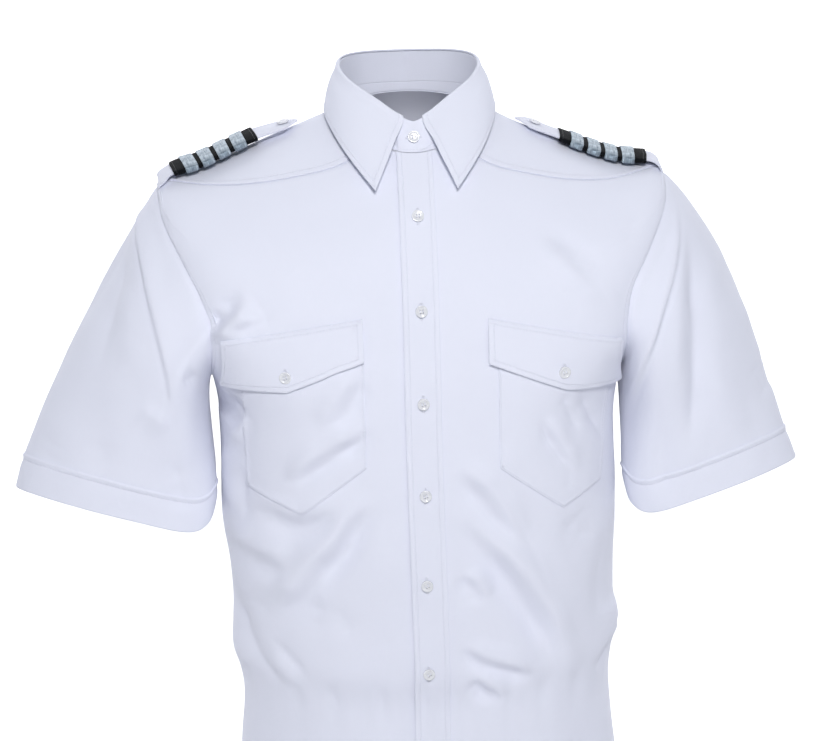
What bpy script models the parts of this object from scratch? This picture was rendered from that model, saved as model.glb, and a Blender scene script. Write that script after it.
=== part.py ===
"""Short-sleeved pilot shirt in its worn shape, as closed cloth bodies.

Frame: origin at the neck base, midway between the two side neck points.
+Z up, -Y the wearer's front, +X the wearer's left. Tables are in millimetres.
Every cloth panel is a patch of one worn surface, so neighbours share their edges.
"""
import bpy
import bmesh
import math
import numpy as np

MM = 0.001

# Cloth sizes
CLOTH = 1.2          # wall of a cloth panel
SEAM = 0.2           # half of the slit left at every seam
OVERLAP = 17.0       # the left front passes the centre by this much
UNDERLAP_DIP = 1.9   # the right front sinks by this under the left one
HEM_BAND = 34.0      # depth of the sleeve's turned hem
HEM_WALL = 2.0

# Worn torso: rings from the neck seam (t = 0) down to the shirt tail (t = 16).
# t, half width, front depth, back depth, z front, z side, z back, power, roll
RINGS = [
    (0.0, 64.0, 70.0, 64.0, -37.0, 0.0, 8.0, 2.05, 1.7),
    (1.0, 97.0, 94.0, 86.0, -76.0, -13.0, -12.0, 2.1, 1.6),
    (2.0, 153.0, 108.0, 101.0, -107.0, -35.0, -36.0, 2.35, 1.6),
    (3.0, 205.0, 116.0, 110.0, -131.0, -54.0, -58.0, 2.65, 1.7),
    (4.0, 241.0, 121.0, 115.0, -150.0, -69.0, -78.0, 3.0, 1.8),
    (5.0, 230.0, 126.0, 120.0, -182.0, -124.0, -104.0, 3.7, 1.9),
    (6.0, 215.0, 129.0, 122.0, -230.0, -190.0, -182.0, 3.6, 2.0),
    (7.0, 196.0, 129.0, 121.0, -276.0, -250.0, -258.0, 2.9, 2.0),
    (8.0, 191.0, 128.0, 119.0, -326.0, -315.0, -318.0, 2.5, 2.0),
    (9.0, 192.0, 126.0, 117.0, -386.0, -380.0, -380.0, 2.3, 2.0),
    (10.0, 189.5, 123.0, 115.0, -438.0, -433.0, -432.0, 2.3, 2.0),
    (11.0, 187.0, 120.0, 113.0, -490.0, -485.0, -484.0, 2.3, 2.0),
    (12.0, 187.5, 118.0, 112.0, -532.0, -524.0, -524.0, 2.3, 2.0),
    (13.0, 181.0, 110.0, 104.0, -566.0, -557.0, -558.0, 2.3, 2.0),
    (14.0, 184.0, 112.0, 110.0, -632.0, -618.0, -628.0, 2.3, 1.8),
    (15.0, 189.0, 114.0, 116.0, -712.0, -672.0, -714.0, 2.3, 2.0),
    (16.0, 191.0, 114.0, 118.0, -786.0, -712.0, -794.0, 2.3, 2.0),
]
LEFT_DROP = 5.5      # the wearer's left shoulder lies lower in its middle
WAIST_SHIFT = 3.5    # the waist hangs towards the wearer's left by this
T_TIP = 4.0          # ring of the shoulder tips
T_UNDER = 7.0        # ring of the underarm points
ARMHOLE_STEPS = 24   # points round one armhole
ARMHOLE_FRONT = 27.0  # degrees that the armhole bites into the front
ARMHOLE_BACK = 22.0
YOKE_STEP = 5        # armhole step that meets the back yoke seam

# Yoke seam over the front of the shoulder: ring, angle from the centre front
YOKE_SEAM = [(0.0, 36.0), (0.8, 45.0), (1.5, 59.0), (2.1, 69.0), (3.0, 80.5), (4.0, 90.0)]

# Collar. Angle from the centre back, then x, y, z of the fold on the wearer's left
FOLD_LINE = [
    (0.0, 0.0, 60.0, 46.0), (40.0, 43.0, 46.0, 46.0), (80.0, 65.0, 9.0, 42.0),
    (105.0, 64.0, -17.0, 34.0), (130.0, 51.0, -37.0, 22.0), (152.0, 31.0, -50.0, 9.0),
    (170.0, 12.0, -58.0, -4.0), (180.0, 0.0, -60.0, -9.0), (194.0, -16.0, -58.0, -9.0),
]
# The free edge of the leaf, from the centre back to the point
LEAF_EDGE = [
    (0.0, 0.0, 84.0, -3.0), (40.0, 56.0, 64.0, -1.0), (80.0, 80.0, 8.0, -1.0),
    (105.0, 79.5, -28.0, -9.0), (130.0, 68.0, -61.0, -29.0), (152.0, 53.0, -84.0, -49.0),
    (173.0, 38.0, -99.0, -67.0),
]
LEAF_END = 173.0
STAND_END = 193.0

# Sleeves: where the hem's outer and inner ends lie, the hem's half depth in y, and how far
# the inner end rides up
SLEEVES = {
    "left": {"outer": (366.0, -36.0, -348.0), "inner": (203.0, -30.0, -405.0), "depth": 48.0,
             "leave": (0.70, 0.0, -0.71), "bow": 1.0, "rise": 22.0},
    "right": {"outer": (-387.0, -36.0, -350.0), "inner": (-200.0, -30.0, -408.0), "depth": 48.0,
              "leave": (-0.52, 0.0, -0.85), "bow": 0.95, "rise": 24.0},
}

# Soft folds of the worn cloth: which body, path in (x, z), half width, height
FOLDS = [
    ("torso", [(-196, -262), (-168, -300), (-120, -330)], 16, 3.0),
    ("torso", [(-180, -250), (-140, -268), (-96, -275)], 13, -2.6),
    ("torso", [(196, -262), (160, -300), (120, -345)], 16, 3.0),
    ("torso", [(188, -262), (166, -330), (150, -400)], 15, -3.0),
    ("torso", [(-184, -440), (-150, -478), (-100, -505), (-60, -515)], 18, 4.0),
    ("torso", [(-180, -500), (-140, -520), (-80, -540)], 14, -3.5),
    ("torso", [(110, -395), (140, -450), (160, -520)], 17, 4.0),
    ("torso", [(184, -470), (172, -505), (150, -545)], 15, -4.0),
    ("torso", [(200, -527), (172, -532)], 20, 7.0),
    ("torso", [(-130, -548), (-120, -575)], 9, 3.0),
    ("torso", [(-60, -545), (-66, -575)], 9, -2.5),
    ("torso", [(80, -545), (86, -580)], 10, 3.0),
    ("torso", [(-120, -70), (-150, -120), (-176, -190)], 15, 3.0),
    ("torso", [(120, -75), (158, -130), (180, -200)], 15, 3.0),
    ("left", [(253, -110), (247, -160), (236, -210), (224, -236)], 15, -7.0),
    ("left", [(266, -130), (272, -190), (270, -260), (262, -320)], 18, 3.5),
    ("left", [(236, -100), (226, -140), (222, -190)], 9, 4.0),
    ("right", [(-256, -100), (-252, -140), (-240, -185), (-232, -230), (-226, -290)], 15, -6.0),
    ("right", [(-238, -100), (-226, -140), (-222, -190)], 9, 4.0),
    ("right", [(-270, -110), (-276, -180), (-262, -260), (-250, -320)], 18, 3.0),
]

# Breast pockets and flaps, corners in (x, z), going round
POCKETS = {
    "left": [(70, -190), (183, -210), (170, -354), (131, -373), (70, -327)],
    "right": [(-168, -205), (-54, -190), (-54, -322), (-113, -368), (-165, -347)],
}
FLAPS = {
    "left": [(61, -184), (188, -211), (188, -258), (132, -254), (61, -226)],
    "right": [(-184, -200), (-54, -181), (-54, -221), (-124, -247), (-184, -246)],
}
FLAP_BUTTONS = {"left": (132.0, -239.0), "right": (-127.0, -235.0)}
POCKET_LIFT = 0.35
POCKET_WALL = 1.0
FLAP_LIFT = POCKET_LIFT + POCKET_WALL + 0.6
FLAP_WALL = 1.3
PLACKET_LIFT = 0.35
PLACKET_WALL = 0.9

# Shoulder straps: half width, y, height over the shoulder, from the armhole to the point
STRAPS = {
    "left": [(240.5, -3.0, 1.0), (239.0, -3.0, 4.0), (235.0, -2.8, 6.0), (226.0, -2.0, 6.8),
             (205.0, 0.0, 6.8), (175.0, 1.5, 6.4), (145.0, 3.0, 6.0), (125.0, 4.0, 6.0),
             (112.0, 5.0, 5.8), (101.0, 5.5, 3.8)],
    "right": [(240.5, -5.0, 1.0), (239.0, -5.0, 3.0), (235.0, -4.5, 4.8), (229.0, -4.0, 6.2),
              (205.0, -1.0, 8.5), (175.0, 2.0, 11.0), (150.0, 4.0, 11.0), (132.0, 6.0, 9.0),
              (118.0, 7.0, 7.2), (106.0, 8.0, 5.2)],
}
STRAP_TILT = 0.075   # fall of the strap towards the front
STRAP_ARCH = 0.8
STRAP_WIDTH = 44.0
STRAP_WALL = 1.6
SLIDE_SPAN = {"left": (143.0, 226.0), "right": (148.0, 227.5)}
SLIDE_WIDTH = 51.0
SLIDE_INNER = 3.0     # clear height inside the slide
SLIDE_WALL = 1.3
STRIPE_WIDTH = 12.5
STRIPE_PITCH = 17.0
STRIPE_WALL = 0.9
STRIPES = 4

BUTTON_RADIUS = 5.6
BUTTON_HEIGHT = 2.4
PLACKET_BUTTON_Z = (-92.0, -176.0, -262.0, -350.0, -438.0, -526.0, -640.0)

WHITE = (0.83, 0.84, 0.90, 1.0)
BLACK = (0.012, 0.012, 0.016, 1.0)
SILVER = (0.62, 0.66, 0.72, 1.0)
PEARL = (0.86, 0.86, 0.86, 1.0)


def natural_spline(xs, ys):
    """Second derivatives of the natural cubic through the points."""
    n = len(xs)
    h = np.diff(xs)
    system = np.eye(n)
    right = np.zeros((n, ys.shape[1]))
    for i in range(1, n - 1):
        system[i, i - 1] = h[i - 1]
        system[i, i] = 2.0 * (h[i - 1] + h[i])
        system[i, i + 1] = h[i]
        right[i] = 6.0 * ((ys[i + 1] - ys[i]) / h[i] - (ys[i] - ys[i - 1]) / h[i - 1])
    return np.linalg.solve(system, right)


class Curve:
    """Smooth table lookup: the first column is the key, the others are read."""

    def __init__(self, rows):
        table = np.array(rows, float)
        self.keys = table[:, 0]
        self.values = table[:, 1:]
        self.bend = natural_spline(self.keys, self.values)

    def __call__(self, key):
        key = np.clip(np.asarray(key, float), self.keys[0], self.keys[-1])
        i = np.clip(np.searchsorted(self.keys, key, side="right") - 1, 0, len(self.keys) - 2)
        h = (self.keys[i + 1] - self.keys[i])[..., None]
        a = (self.keys[i + 1] - key)[..., None] / h
        b = 1.0 - a
        cubic = ((a ** 3 - a) * self.bend[i] + (b ** 3 - b) * self.bend[i + 1]) * h * h / 6.0
        return a * self.values[i] + b * self.values[i + 1] + cubic


RING_CURVE = Curve(RINGS)
SEAM_CURVE = Curve(YOKE_SEAM)
FOLD_CURVE = Curve(FOLD_LINE)
EDGE_CURVE = Curve(LEAF_EDGE)


def smooth(x):
    x = np.clip(x, 0.0, 1.0)
    return x * x * (3.0 - 2.0 * x)


def torso_base(theta, t):
    """Worn torso without folds. theta in degrees from the front centre to the left."""
    ring = RING_CURVE(t)
    half, front, back, z_front, z_side, z_back, power, roll = [ring[..., k] for k in range(8)]
    c = np.cos(np.radians(theta))
    s = np.sin(np.radians(theta))
    ahead = c >= 0
    depth = np.where(ahead, front, back)
    z_end = np.where(ahead, z_front, z_back)
    r = (np.abs(c / depth) ** power + np.abs(s / half) ** power) ** (-1.0 / power)
    y = -r * c
    z = z_side + (z_end - z_side) * (np.abs(y) / depth) ** roll
    middle = smooth(t / 1.6) * smooth((T_TIP + 0.1 - t) / 1.6)
    z = z - LEFT_DROP * middle * np.clip(s, 0.0, 1.0) ** 2
    x = r * s + WAIST_SHIFT * smooth((t - 7.0) / 5.0)
    return np.stack([x, y, z], axis=-1)


def path_relief(points, path, half_width, height):
    """Height of one fold over points seen from the front: a rounded ridge with soft ends."""
    path = np.array(path, float)
    best = np.full(points.shape[:-1], 1e9)
    where = np.zeros(points.shape[:-1])
    lengths = np.linalg.norm(np.diff(path, axis=0), axis=1)
    total = lengths.sum()
    done = 0.0
    for a, b, length in zip(path[:-1], path[1:], lengths):
        along = np.clip(((points[..., 0] - a[0]) * (b[0] - a[0])
                         + (points[..., 2] - a[1]) * (b[1] - a[1])) / length ** 2, 0.0, 1.0)
        dx = points[..., 0] - a[0] - along * (b[0] - a[0])
        dz = points[..., 2] - a[1] - along * (b[1] - a[1])
        distance = np.hypot(dx, dz)
        nearer = distance < best
        best = np.where(nearer, distance, best)
        where = np.where(nearer, (done + along * length) / total, where)
        done += length
    ends = smooth(where / 0.3 + 0.15) * smooth((1.0 - where) / 0.3 + 0.15)
    return height * ends * np.exp(-(best / half_width) ** 2)


def relief(points, body):
    """All folds of one body on its front half."""
    total = np.zeros(points.shape[:-1])
    for name, path, half_width, height in FOLDS:
        if name == body:
            total = total + path_relief(points, path, half_width, height)
    limit = 60.0 if body == "torso" else 20.0
    return total * smooth((-points[..., 1] + limit * 0.25) / limit)


def surface_normal(surface, a, b, da, db):
    pa = surface(a + da, b) - surface(a - da, b)
    pb = surface(a, b + db) - surface(a, b - db)
    n = np.cross(pa, pb)
    return n / np.maximum(np.linalg.norm(n, axis=-1, keepdims=True), 1e-9)


def torso_base_normal(theta, t):
    t = np.clip(t, 0.011, 15.989)
    return -surface_normal(torso_base, theta, t, 0.2, 0.01)


def torso(theta, t):
    base = torso_base(theta, t)
    return base + torso_base_normal(theta, t) * relief(base, "torso")[..., None]


def torso_normal(theta, t):
    t = np.clip(t, 0.021, 15.979)
    return -surface_normal(torso, theta, t, 0.4, 0.02)


def armhole_angles(phi, side):
    """Torso angle and ring of an armhole point. phi in degrees, 0 at the tip, 90 at the front."""
    phi = np.radians(phi)
    t = T_TIP + (T_UNDER - T_TIP) * (1.0 - np.cos(phi)) / 2.0
    bite = np.where(np.sin(phi) >= 0, ARMHOLE_FRONT, ARMHOLE_BACK) * np.sin(phi)
    sign = 1.0 if side == "left" else -1.0
    return sign * (90.0 - bite), t


def ring_step(k):
    """Ring of armhole step k (0 at the tip, 12 at the underarm)."""
    return T_TIP + (T_UNDER - T_TIP) * (1.0 - math.cos(math.pi * k / 12.0)) / 2.0


NECK_ROWS = [0.0, 0.5, 1.0, 1.5, 2.0, 2.5, 3.0, 3.5]
ARM_ROWS = [ring_step(k) for k in range(13)]
BODY_ROWS = [7.5, 8.0, 8.5, 9.0, 9.5, 10.0, 10.5, 11.0, 11.5, 12.0, 12.5, 13.0, 14.0, 15.0, 16.0]
T_YOKE = ring_step(YOKE_STEP)


def outer_edge(t, bite):
    """Angle at which a front or back panel ends at ring t, before the seam slit."""
    t = np.asarray(t, float)
    inside = np.clip((t - T_TIP) / (T_UNDER - T_TIP), 0.0, 1.0)
    phi = np.arccos(1.0 - 2.0 * inside)
    return 90.0 - bite * np.sin(phi)


def front_edge(t):
    t = np.asarray(t, float)
    return np.where(t < T_TIP, SEAM_CURVE(t)[..., 0], outer_edge(t, ARMHOLE_FRONT))


def slit_angle(theta, t):
    reach = np.linalg.norm(torso_base(theta, t)[..., :2], axis=-1)
    return np.degrees(SEAM / reach)


def centre_angle(t):
    """Angle at which a front panel ends past the centre."""
    return -np.degrees(np.arcsin(OVERLAP / RING_CURVE(t)[..., 1]))


def round_back(columns):
    """Fractions from 0 to 1 that lie closer towards both ends, where the body turns."""
    u = np.linspace(0.0, 1.0, columns + 1)
    return u - 0.45 * np.sin(2.0 * np.pi * u) / (2.0 * np.pi)


def grid_front(side):
    rows = np.array(NECK_ROWS + ARM_ROWS + BODY_ROWS)
    rows[0] += 0.004
    columns = 14
    first = centre_angle(rows)
    last = front_edge(rows)
    last = last - slit_angle(last, rows)
    u = round_back(2 * columns)[columns:] * 2.0 - 1.0
    theta = first[:, None] + (last - first)[:, None] * u
    t = np.repeat(rows[:, None], columns + 1, axis=1)
    if side == "right":
        theta = -theta
    outer = torso(theta, t)
    n = torso_normal(theta, t)
    if side == "right":
        sink = UNDERLAP_DIP * smooth((outer[..., 0] + OVERLAP + 26.0) / 24.0)
        outer = outer - n * sink[..., None]
    return outer, n


def grid_yoke():
    rows = np.array(NECK_ROWS + ARM_ROWS[:YOKE_STEP + 1])
    back_edge = outer_edge(rows, -ARMHOLE_BACK)
    edge = np.where(rows < T_TIP, front_edge(rows), back_edge)
    edge = edge + slit_angle(edge, rows)
    rows[0] += 0.004
    rows[-1] -= 0.004
    columns = 22
    u = round_back(columns)
    theta = edge[:, None] + (360.0 - 2.0 * edge)[:, None] * u
    t = np.repeat(rows[:, None], columns + 1, axis=1)
    return torso(theta, t), torso_normal(theta, t)


def grid_back():
    rows = np.array(ARM_ROWS[YOKE_STEP:] + BODY_ROWS)
    edge = outer_edge(rows, -ARMHOLE_BACK)
    edge = edge + slit_angle(edge, rows)
    rows[0] += 0.004
    columns = 22
    u = round_back(columns)
    theta = edge[:, None] + (360.0 - 2.0 * edge)[:, None] * u
    t = np.repeat(rows[:, None], columns + 1, axis=1)
    return torso(theta, t), torso_normal(theta, t)


def unit(v):
    v = np.asarray(v, float)
    return v / np.linalg.norm(v, axis=-1, keepdims=True)


def sleeve_base(side, phi, s):
    """Sleeve tube without folds: phi round the armhole, s from the armhole to the hem."""
    spec = SLEEVES[side]
    sign = 1.0 if side == "left" else -1.0
    outer = np.array(spec["outer"])
    inner = np.array(spec["inner"])
    centre = (outer + inner) / 2.0
    across = outer - inner
    half = np.linalg.norm(across) / 2.0
    across = unit(across)
    axis = unit(np.cross(np.array([0.0, sign, 0.0]), across) + np.array([0.0, -0.15, 0.0]))
    ahead = unit(np.cross(axis, across)) * sign
    ahead = ahead if ahead[1] < 0 else -ahead
    theta, t = armhole_angles(phi, side)
    start = torso_base(theta, t)
    c = np.cos(np.radians(phi))[..., None]
    d = np.sin(np.radians(phi))[..., None]
    pinch = 1.0 - 0.25 * smooth(-2.0 * c)
    hem = centre + spec["depth"] * np.sign(d) * np.abs(d) ** pinch * ahead
    hem = hem + half * np.sign(c) * np.abs(c) ** pinch * across
    hem = hem + np.array([0.0, 0.0, spec["rise"]]) * np.clip(-c, 0.0, 1.0) ** 6
    top = np.array(spec["leave"])
    under = np.array([sign * 0.26, 0.0, -0.96])
    middle = np.array([sign * 0.62, 0.0, -0.62])
    up = np.clip(c, 0.0, 1.0)
    down = np.clip(-c, 0.0, 1.0)
    leave = unit(top * up ** 2 + under * down ** 2 + (middle + np.array([0, -0.16, 0]) * d) * d ** 2)
    start = start + leave * 0.5
    reach = np.linalg.norm(hem - start, axis=-1, keepdims=True)
    m0 = leave * reach * spec["bow"]
    m1 = axis * reach
    s = np.asarray(s, float)[..., None]
    return ((2 * s ** 3 - 3 * s ** 2 + 1) * start + (s ** 3 - 2 * s ** 2 + s) * m0
            + (-2 * s ** 3 + 3 * s ** 2) * hem + (s ** 3 - s ** 2) * m1)


def sleeve_points(side, phi, s):
    def base(p, q):
        return sleeve_base(side, p, q)
    sign = 1.0 if side == "left" else -1.0
    points = base(phi, s)
    n = surface_normal(base, phi, np.clip(s, 0.011, 0.989), 0.5, 0.01) * sign
    lift = relief(points, side) * smooth(np.asarray(s) / 0.12)
    return points + n * lift[..., None]


def sleeve_normal(side, phi, s):
    def skin(p, q):
        return sleeve_points(side, p, q)
    sign = 1.0 if side == "left" else -1.0
    n = surface_normal(skin, phi, np.clip(s, 0.021, 0.979), 0.8, 0.02) * sign
    theta, t = armhole_angles(phi, side)
    near = (smooth(1.0 - np.asarray(s) / 0.06) * np.clip(np.cos(np.radians(phi)), 0, 1))[..., None]
    return unit(n * (1.0 - near) + torso_normal(theta, t) * near)


def sleeve_angles():
    return np.arange(ARMHOLE_STEPS) * 360.0 / ARMHOLE_STEPS


def band_start(side, band):
    """Fraction of the sleeve, round it, at which a band of even depth begins."""
    phi = sleeve_angles()
    s = np.linspace(0.6, 1.0, 41)
    p, q = np.meshgrid(phi, s)
    steps = np.linalg.norm(np.diff(sleeve_base(side, p, q), axis=0), axis=2)
    left = np.vstack([np.cumsum(steps[::-1], axis=0)[::-1], np.zeros((1, len(phi)))])
    return np.array([np.interp(-band, -left[:, k], s) for k in range(len(phi))])


def grid_sleeve(side, first, last, rows):
    phi = sleeve_angles()
    u = np.linspace(0.0, 1.0, rows + 1)[:, None]
    q = (first + (last - first) * u) * np.ones(ARMHOLE_STEPS)
    p = np.repeat(phi[None, :], rows + 1, axis=0)
    return sleeve_points(side, p, q), sleeve_normal(side, p, q)


def new_body(name, vertices, faces, colour, rough):
    """One closed body in metres, outward faces, its own material."""
    mesh = bpy.data.meshes.new(name)
    bm = bmesh.new()
    handles = [bm.verts.new([c * MM for c in v]) for v in vertices]
    for face in faces:
        bm.faces.new([handles[i] for i in face])
    bmesh.ops.recalc_face_normals(bm, faces=bm.faces)
    if bm.calc_volume(signed=True) < 0:
        bmesh.ops.reverse_faces(bm, faces=bm.faces)
    for face in bm.faces:
        face.smooth = True
    bm.to_mesh(mesh)
    bm.free()
    obj = bpy.data.objects.new(name, mesh)
    SHIRT.objects.link(obj)
    material = bpy.data.materials.new(name + "_material")
    material.use_nodes = True
    shader = material.node_tree.nodes["Principled BSDF"]
    shader.inputs["Base Color"].default_value = colour
    shader.inputs["Roughness"].default_value = rough
    mesh.materials.append(material)
    return obj


def grid_faces(rows, columns, wrap):
    """Triangles of a grid with the same diagonal everywhere."""
    faces = []
    for i in range(rows - 1):
        for j in range(columns if wrap else columns - 1):
            k = (j + 1) % columns
            a, b = i * columns + j, i * columns + k
            c, d = (i + 1) * columns + k, (i + 1) * columns + j
            faces.append((a, b, c))
            faces.append((a, c, d))
    return faces


def sheet_body(name, outer, inner, wrap=False, colour=WHITE, rough=0.85):
    """Closed shell between two grids of points."""
    rows, columns = outer.shape[:2]
    count = rows * columns
    vertices = np.concatenate([outer.reshape(-1, 3), inner.reshape(-1, 3)])
    faces = grid_faces(rows, columns, wrap)
    inside = [(a + count, c + count, b + count) for a, b, c in faces]
    rim = []
    for j in range(columns if wrap else columns - 1):
        k = (j + 1) % columns
        last = (rows - 1) * columns
        rim.append((j, k, k + count, j + count))
        rim.append((last + j, last + k, last + k + count, last + j + count))
    if not wrap:
        for i in range(rows - 1):
            a, b = i * columns, (i + 1) * columns
            rim.append((a, b, b + count, a + count))
            e, f = a + columns - 1, b + columns - 1
            rim.append((e, f, f + count, e + count))
    return new_body(name, vertices, faces + inside + rim, colour, rough)


def layer_body(name, outer, outline, lift, wall, colour=WHITE):
    """A layer lying on a panel: the panel's own faces cut to a convex outline, moved out."""
    rows, columns = outer.shape[:2]
    bm = bmesh.new()
    handles = [bm.verts.new(v) for v in outer.reshape(-1, 3)]
    for face in grid_faces(rows, columns, False):
        bm.faces.new([handles[i] for i in face])
    bmesh.ops.recalc_face_normals(bm, faces=bm.faces)
    centre = np.mean(np.array(outline, float), axis=0)
    for a, b in zip(outline, outline[1:] + outline[:1]):
        edge = np.array([b[0] - a[0], b[1] - a[1]], float)
        normal = np.array([edge[1], -edge[0]])
        normal = normal / np.linalg.norm(normal)
        if normal @ (centre - np.array(a, float)) > 0:
            normal = -normal
        everything = bm.verts[:] + bm.edges[:] + bm.faces[:]
        bmesh.ops.bisect_plane(bm, geom=everything, dist=1e-4, plane_co=(a[0], 0.0, a[1]),
                               plane_no=(normal[0], 0.0, normal[1]), clear_outer=True)
    bmesh.ops.dissolve_degenerate(bm, dist=0.4, edges=bm.edges[:])
    bmesh.ops.triangulate(bm, faces=bm.faces[:])
    bm.normal_update()
    front = sum(face.normal.y * face.calc_area() for face in bm.faces)
    if front > 0:
        bmesh.ops.reverse_faces(bm, faces=bm.faces[:])
        bm.normal_update()
    bm.verts.ensure_lookup_table()
    bm.verts.index_update()
    vertices = []
    for base in (lift + wall, lift):
        for v in bm.verts:
            lean = min([v.normal.dot(f.normal) for f in v.link_faces] + [1.0])
            vertices.append(v.co + v.normal * base / max(lean, 0.8))
    count = len(bm.verts)
    faces = []
    for f in bm.faces:
        index = [v.index for v in f.verts]
        faces.append(tuple(index))
        faces.append(tuple(i + count for i in reversed(index)))
    for e in bm.edges:
        if len(e.link_faces) == 1:
            a, b = e.verts[0].index, e.verts[1].index
            faces.append((a, b, b + count, a + count))
    bm.free()
    return new_body(name, vertices, faces, colour, 0.85)


def panel_point(outer, x, z):
    """Point and outward normal of a panel's faces straight behind (x, z) of the front view."""
    rows, columns = outer.shape[:2]
    flat = outer.reshape(-1, 3)
    best = None
    for a, b, c in grid_faces(rows, columns, False):
        p, q, r = flat[a], flat[b], flat[c]
        area = (q[0] - p[0]) * (r[2] - p[2]) - (r[0] - p[0]) * (q[2] - p[2])
        if abs(area) < 1e-9:
            continue
        u = ((x - p[0]) * (r[2] - p[2]) - (r[0] - p[0]) * (z - p[2])) / area
        v = ((q[0] - p[0]) * (z - p[2]) - (x - p[0]) * (q[2] - p[2])) / area
        if u >= -1e-6 and v >= -1e-6 and u + v <= 1.0 + 1e-6:
            point = p + u * (q - p) + v * (r - p)
            normal = unit(np.cross(q - p, r - p))
            normal = normal if normal[1] < 0 else -normal
            if best is None or point[1] < best[0][1]:
                best = (point, normal)
    return best


def turned_body(name, centre, axis, profile, segments, colour, rough):
    """Body of revolution: profile rows (radius, height) along the axis."""
    axis = unit(axis)
    side = unit(np.cross(axis, [0.0, 0.0, 1.0] if abs(axis[2]) < 0.9 else [1.0, 0.0, 0.0]))
    other = np.cross(axis, side)
    vertices = []
    for radius, height in profile:
        for k in range(segments):
            angle = 2.0 * math.pi * k / segments
            vertices.append(centre + axis * height
                            + radius * (math.cos(angle) * side + math.sin(angle) * other))
    faces = grid_faces(len(profile), segments, True)
    faces.append(tuple(range(segments)))
    last = (len(profile) - 1) * segments
    faces.append(tuple(last + k for k in range(segments)))
    return new_body(name, vertices, faces, colour, rough)


def button(name, point, normal, lift):
    profile = [(BUTTON_RADIUS - 0.9, 0.0), (BUTTON_RADIUS, 0.8),
               (BUTTON_RADIUS, BUTTON_HEIGHT - 0.7), (BUTTON_RADIUS - 1.0, BUTTON_HEIGHT)]
    return turned_body(name, np.asarray(point) + unit(normal) * lift, normal, profile, 12, PEARL, 0.25)


def mirror_angle(curve, alpha):
    """Collar table read on both sides: negative angles are the wearer's right."""
    values = curve(np.abs(alpha)).copy()
    values[..., 0] *= np.where(alpha < 0, -1.0, 1.0)
    return values


def collar_angles():
    return np.linspace(-LEAF_END, LEAF_END, 33)


def collar_stand():
    ends = np.array([180.0, 186.0, STAND_END])
    alpha = np.concatenate([-ends[::-1], collar_angles(), ends])
    foot = torso(180.0 - alpha, np.zeros_like(alpha))
    head = mirror_angle(FOLD_CURVE, alpha)
    radial = unit(foot * np.array([1.0, 1.0, 0.0]))
    tuck = -UNDERLAP_DIP * smooth((-alpha - 140.0) / 26.0)
    v = np.linspace(0.0, 1.0, 4)[:, None, None]
    rise = unit(head - foot)
    outer = foot + rise * 0.5 + (head - foot - rise * 0.5) * v
    outer = outer + (radial * tuck[:, None])[None]
    bulge = np.sin(np.linspace(0.0, 1.0, 4) * math.pi)[:, None, None] * 1.2
    outer = outer + radial[None] * bulge * 0.5
    normals = np.repeat(radial[None], 4, axis=0)
    return sheet_body("collar_stand", outer, outer - normals * CLOTH), outer


def collar_leaf():
    alpha = collar_angles()
    fold = mirror_angle(FOLD_CURVE, alpha)
    edge = mirror_angle(EDGE_CURVE, alpha)
    radial = unit(np.stack([fold[:, 0], fold[:, 1], np.zeros(len(alpha))], axis=1))
    up = np.array([0.0, 0.0, 1.0])
    rows = [fold - radial * 0.7 + up * 2.0, fold + radial * 1.4 + up * 1.9]
    shoulder = fold + radial * 3.0 - up * 1.5
    for v in (0.0, 0.22, 0.46, 0.72, 1.0):
        belly = math.sin(math.pi * v) * 2.2
        rows.append(shoulder + (edge - shoulder) * v + radial * belly)
    outer = np.array(rows)
    da = np.gradient(outer, axis=1)
    dv = np.gradient(outer, axis=0)
    normals = unit(np.cross(da, dv))
    if np.sum(normals[3] * radial) < 0:
        normals = -normals
    return sheet_body("collar_leaf", outer, outer - normals * 1.3)


def shoulder_point(x, side):
    """Top of the shoulder at half width x."""
    sign = 1.0 if side == "left" else -1.0
    t = 0.0
    for _ in range(60):
        here = torso_base(np.array(90.0 * sign), np.array(t))[0] * sign
        t = min(max(t + (x - here) / 60.0, 0.0), T_TIP)
    return torso_base(np.array(90.0 * sign), np.array(t))


def strap_frames(side, stations):
    """Centre line of the strap with its length direction and its up direction."""
    path = np.array(STRAPS[side], float)
    base = np.array([shoulder_point(x, side) for x in path[:, 0]])
    base[:, 1] += path[:, 1]
    base[:, 2] += path[:, 2]
    keys = np.concatenate([[0.0], np.cumsum(np.linalg.norm(np.diff(base, axis=0), axis=1))])
    curve = Curve(np.column_stack([keys, base]))
    s = np.asarray(stations) * keys[-1]
    point = curve(s)
    along = unit(curve(np.clip(s + 0.5, 0, keys[-1])) - curve(np.clip(s - 0.5, 0, keys[-1])))
    up = np.stack([-along[:, 2], np.zeros(len(s)), along[:, 0]], axis=1)
    up = np.where(up[:, 2:3] < 0, -up, up)
    return point, along, unit(up), curve, keys[-1]


def strap_section(point, along, up, y, z):
    """Point of the strap's cross section: y across it, z above its top."""
    across = np.array([-along[1] * np.sign(along[0]), np.sign(along[0]) * along[0], 0.0])
    across = across / np.linalg.norm(across)
    fall = STRAP_TILT * y - STRAP_ARCH * (2.0 * y / STRAP_WIDTH) ** 2
    return point + across * y + up * (z + fall)


def slide_stations(side):
    _, _, _, curve, length = strap_frames(side, [0.0])
    low_x, high_x = SLIDE_SPAN[side]
    first = station_of(curve, length, high_x)
    last = station_of(curve, length, low_x)
    return np.linspace(first, last, 7), length


def station_of(curve, length, x):
    """Length fraction at which the strap passes half width x."""
    s = np.linspace(0.0, length, 400)
    return float(s[np.argmin(np.abs(np.abs(curve(s)[:, 0]) - x))] / length)


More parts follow.
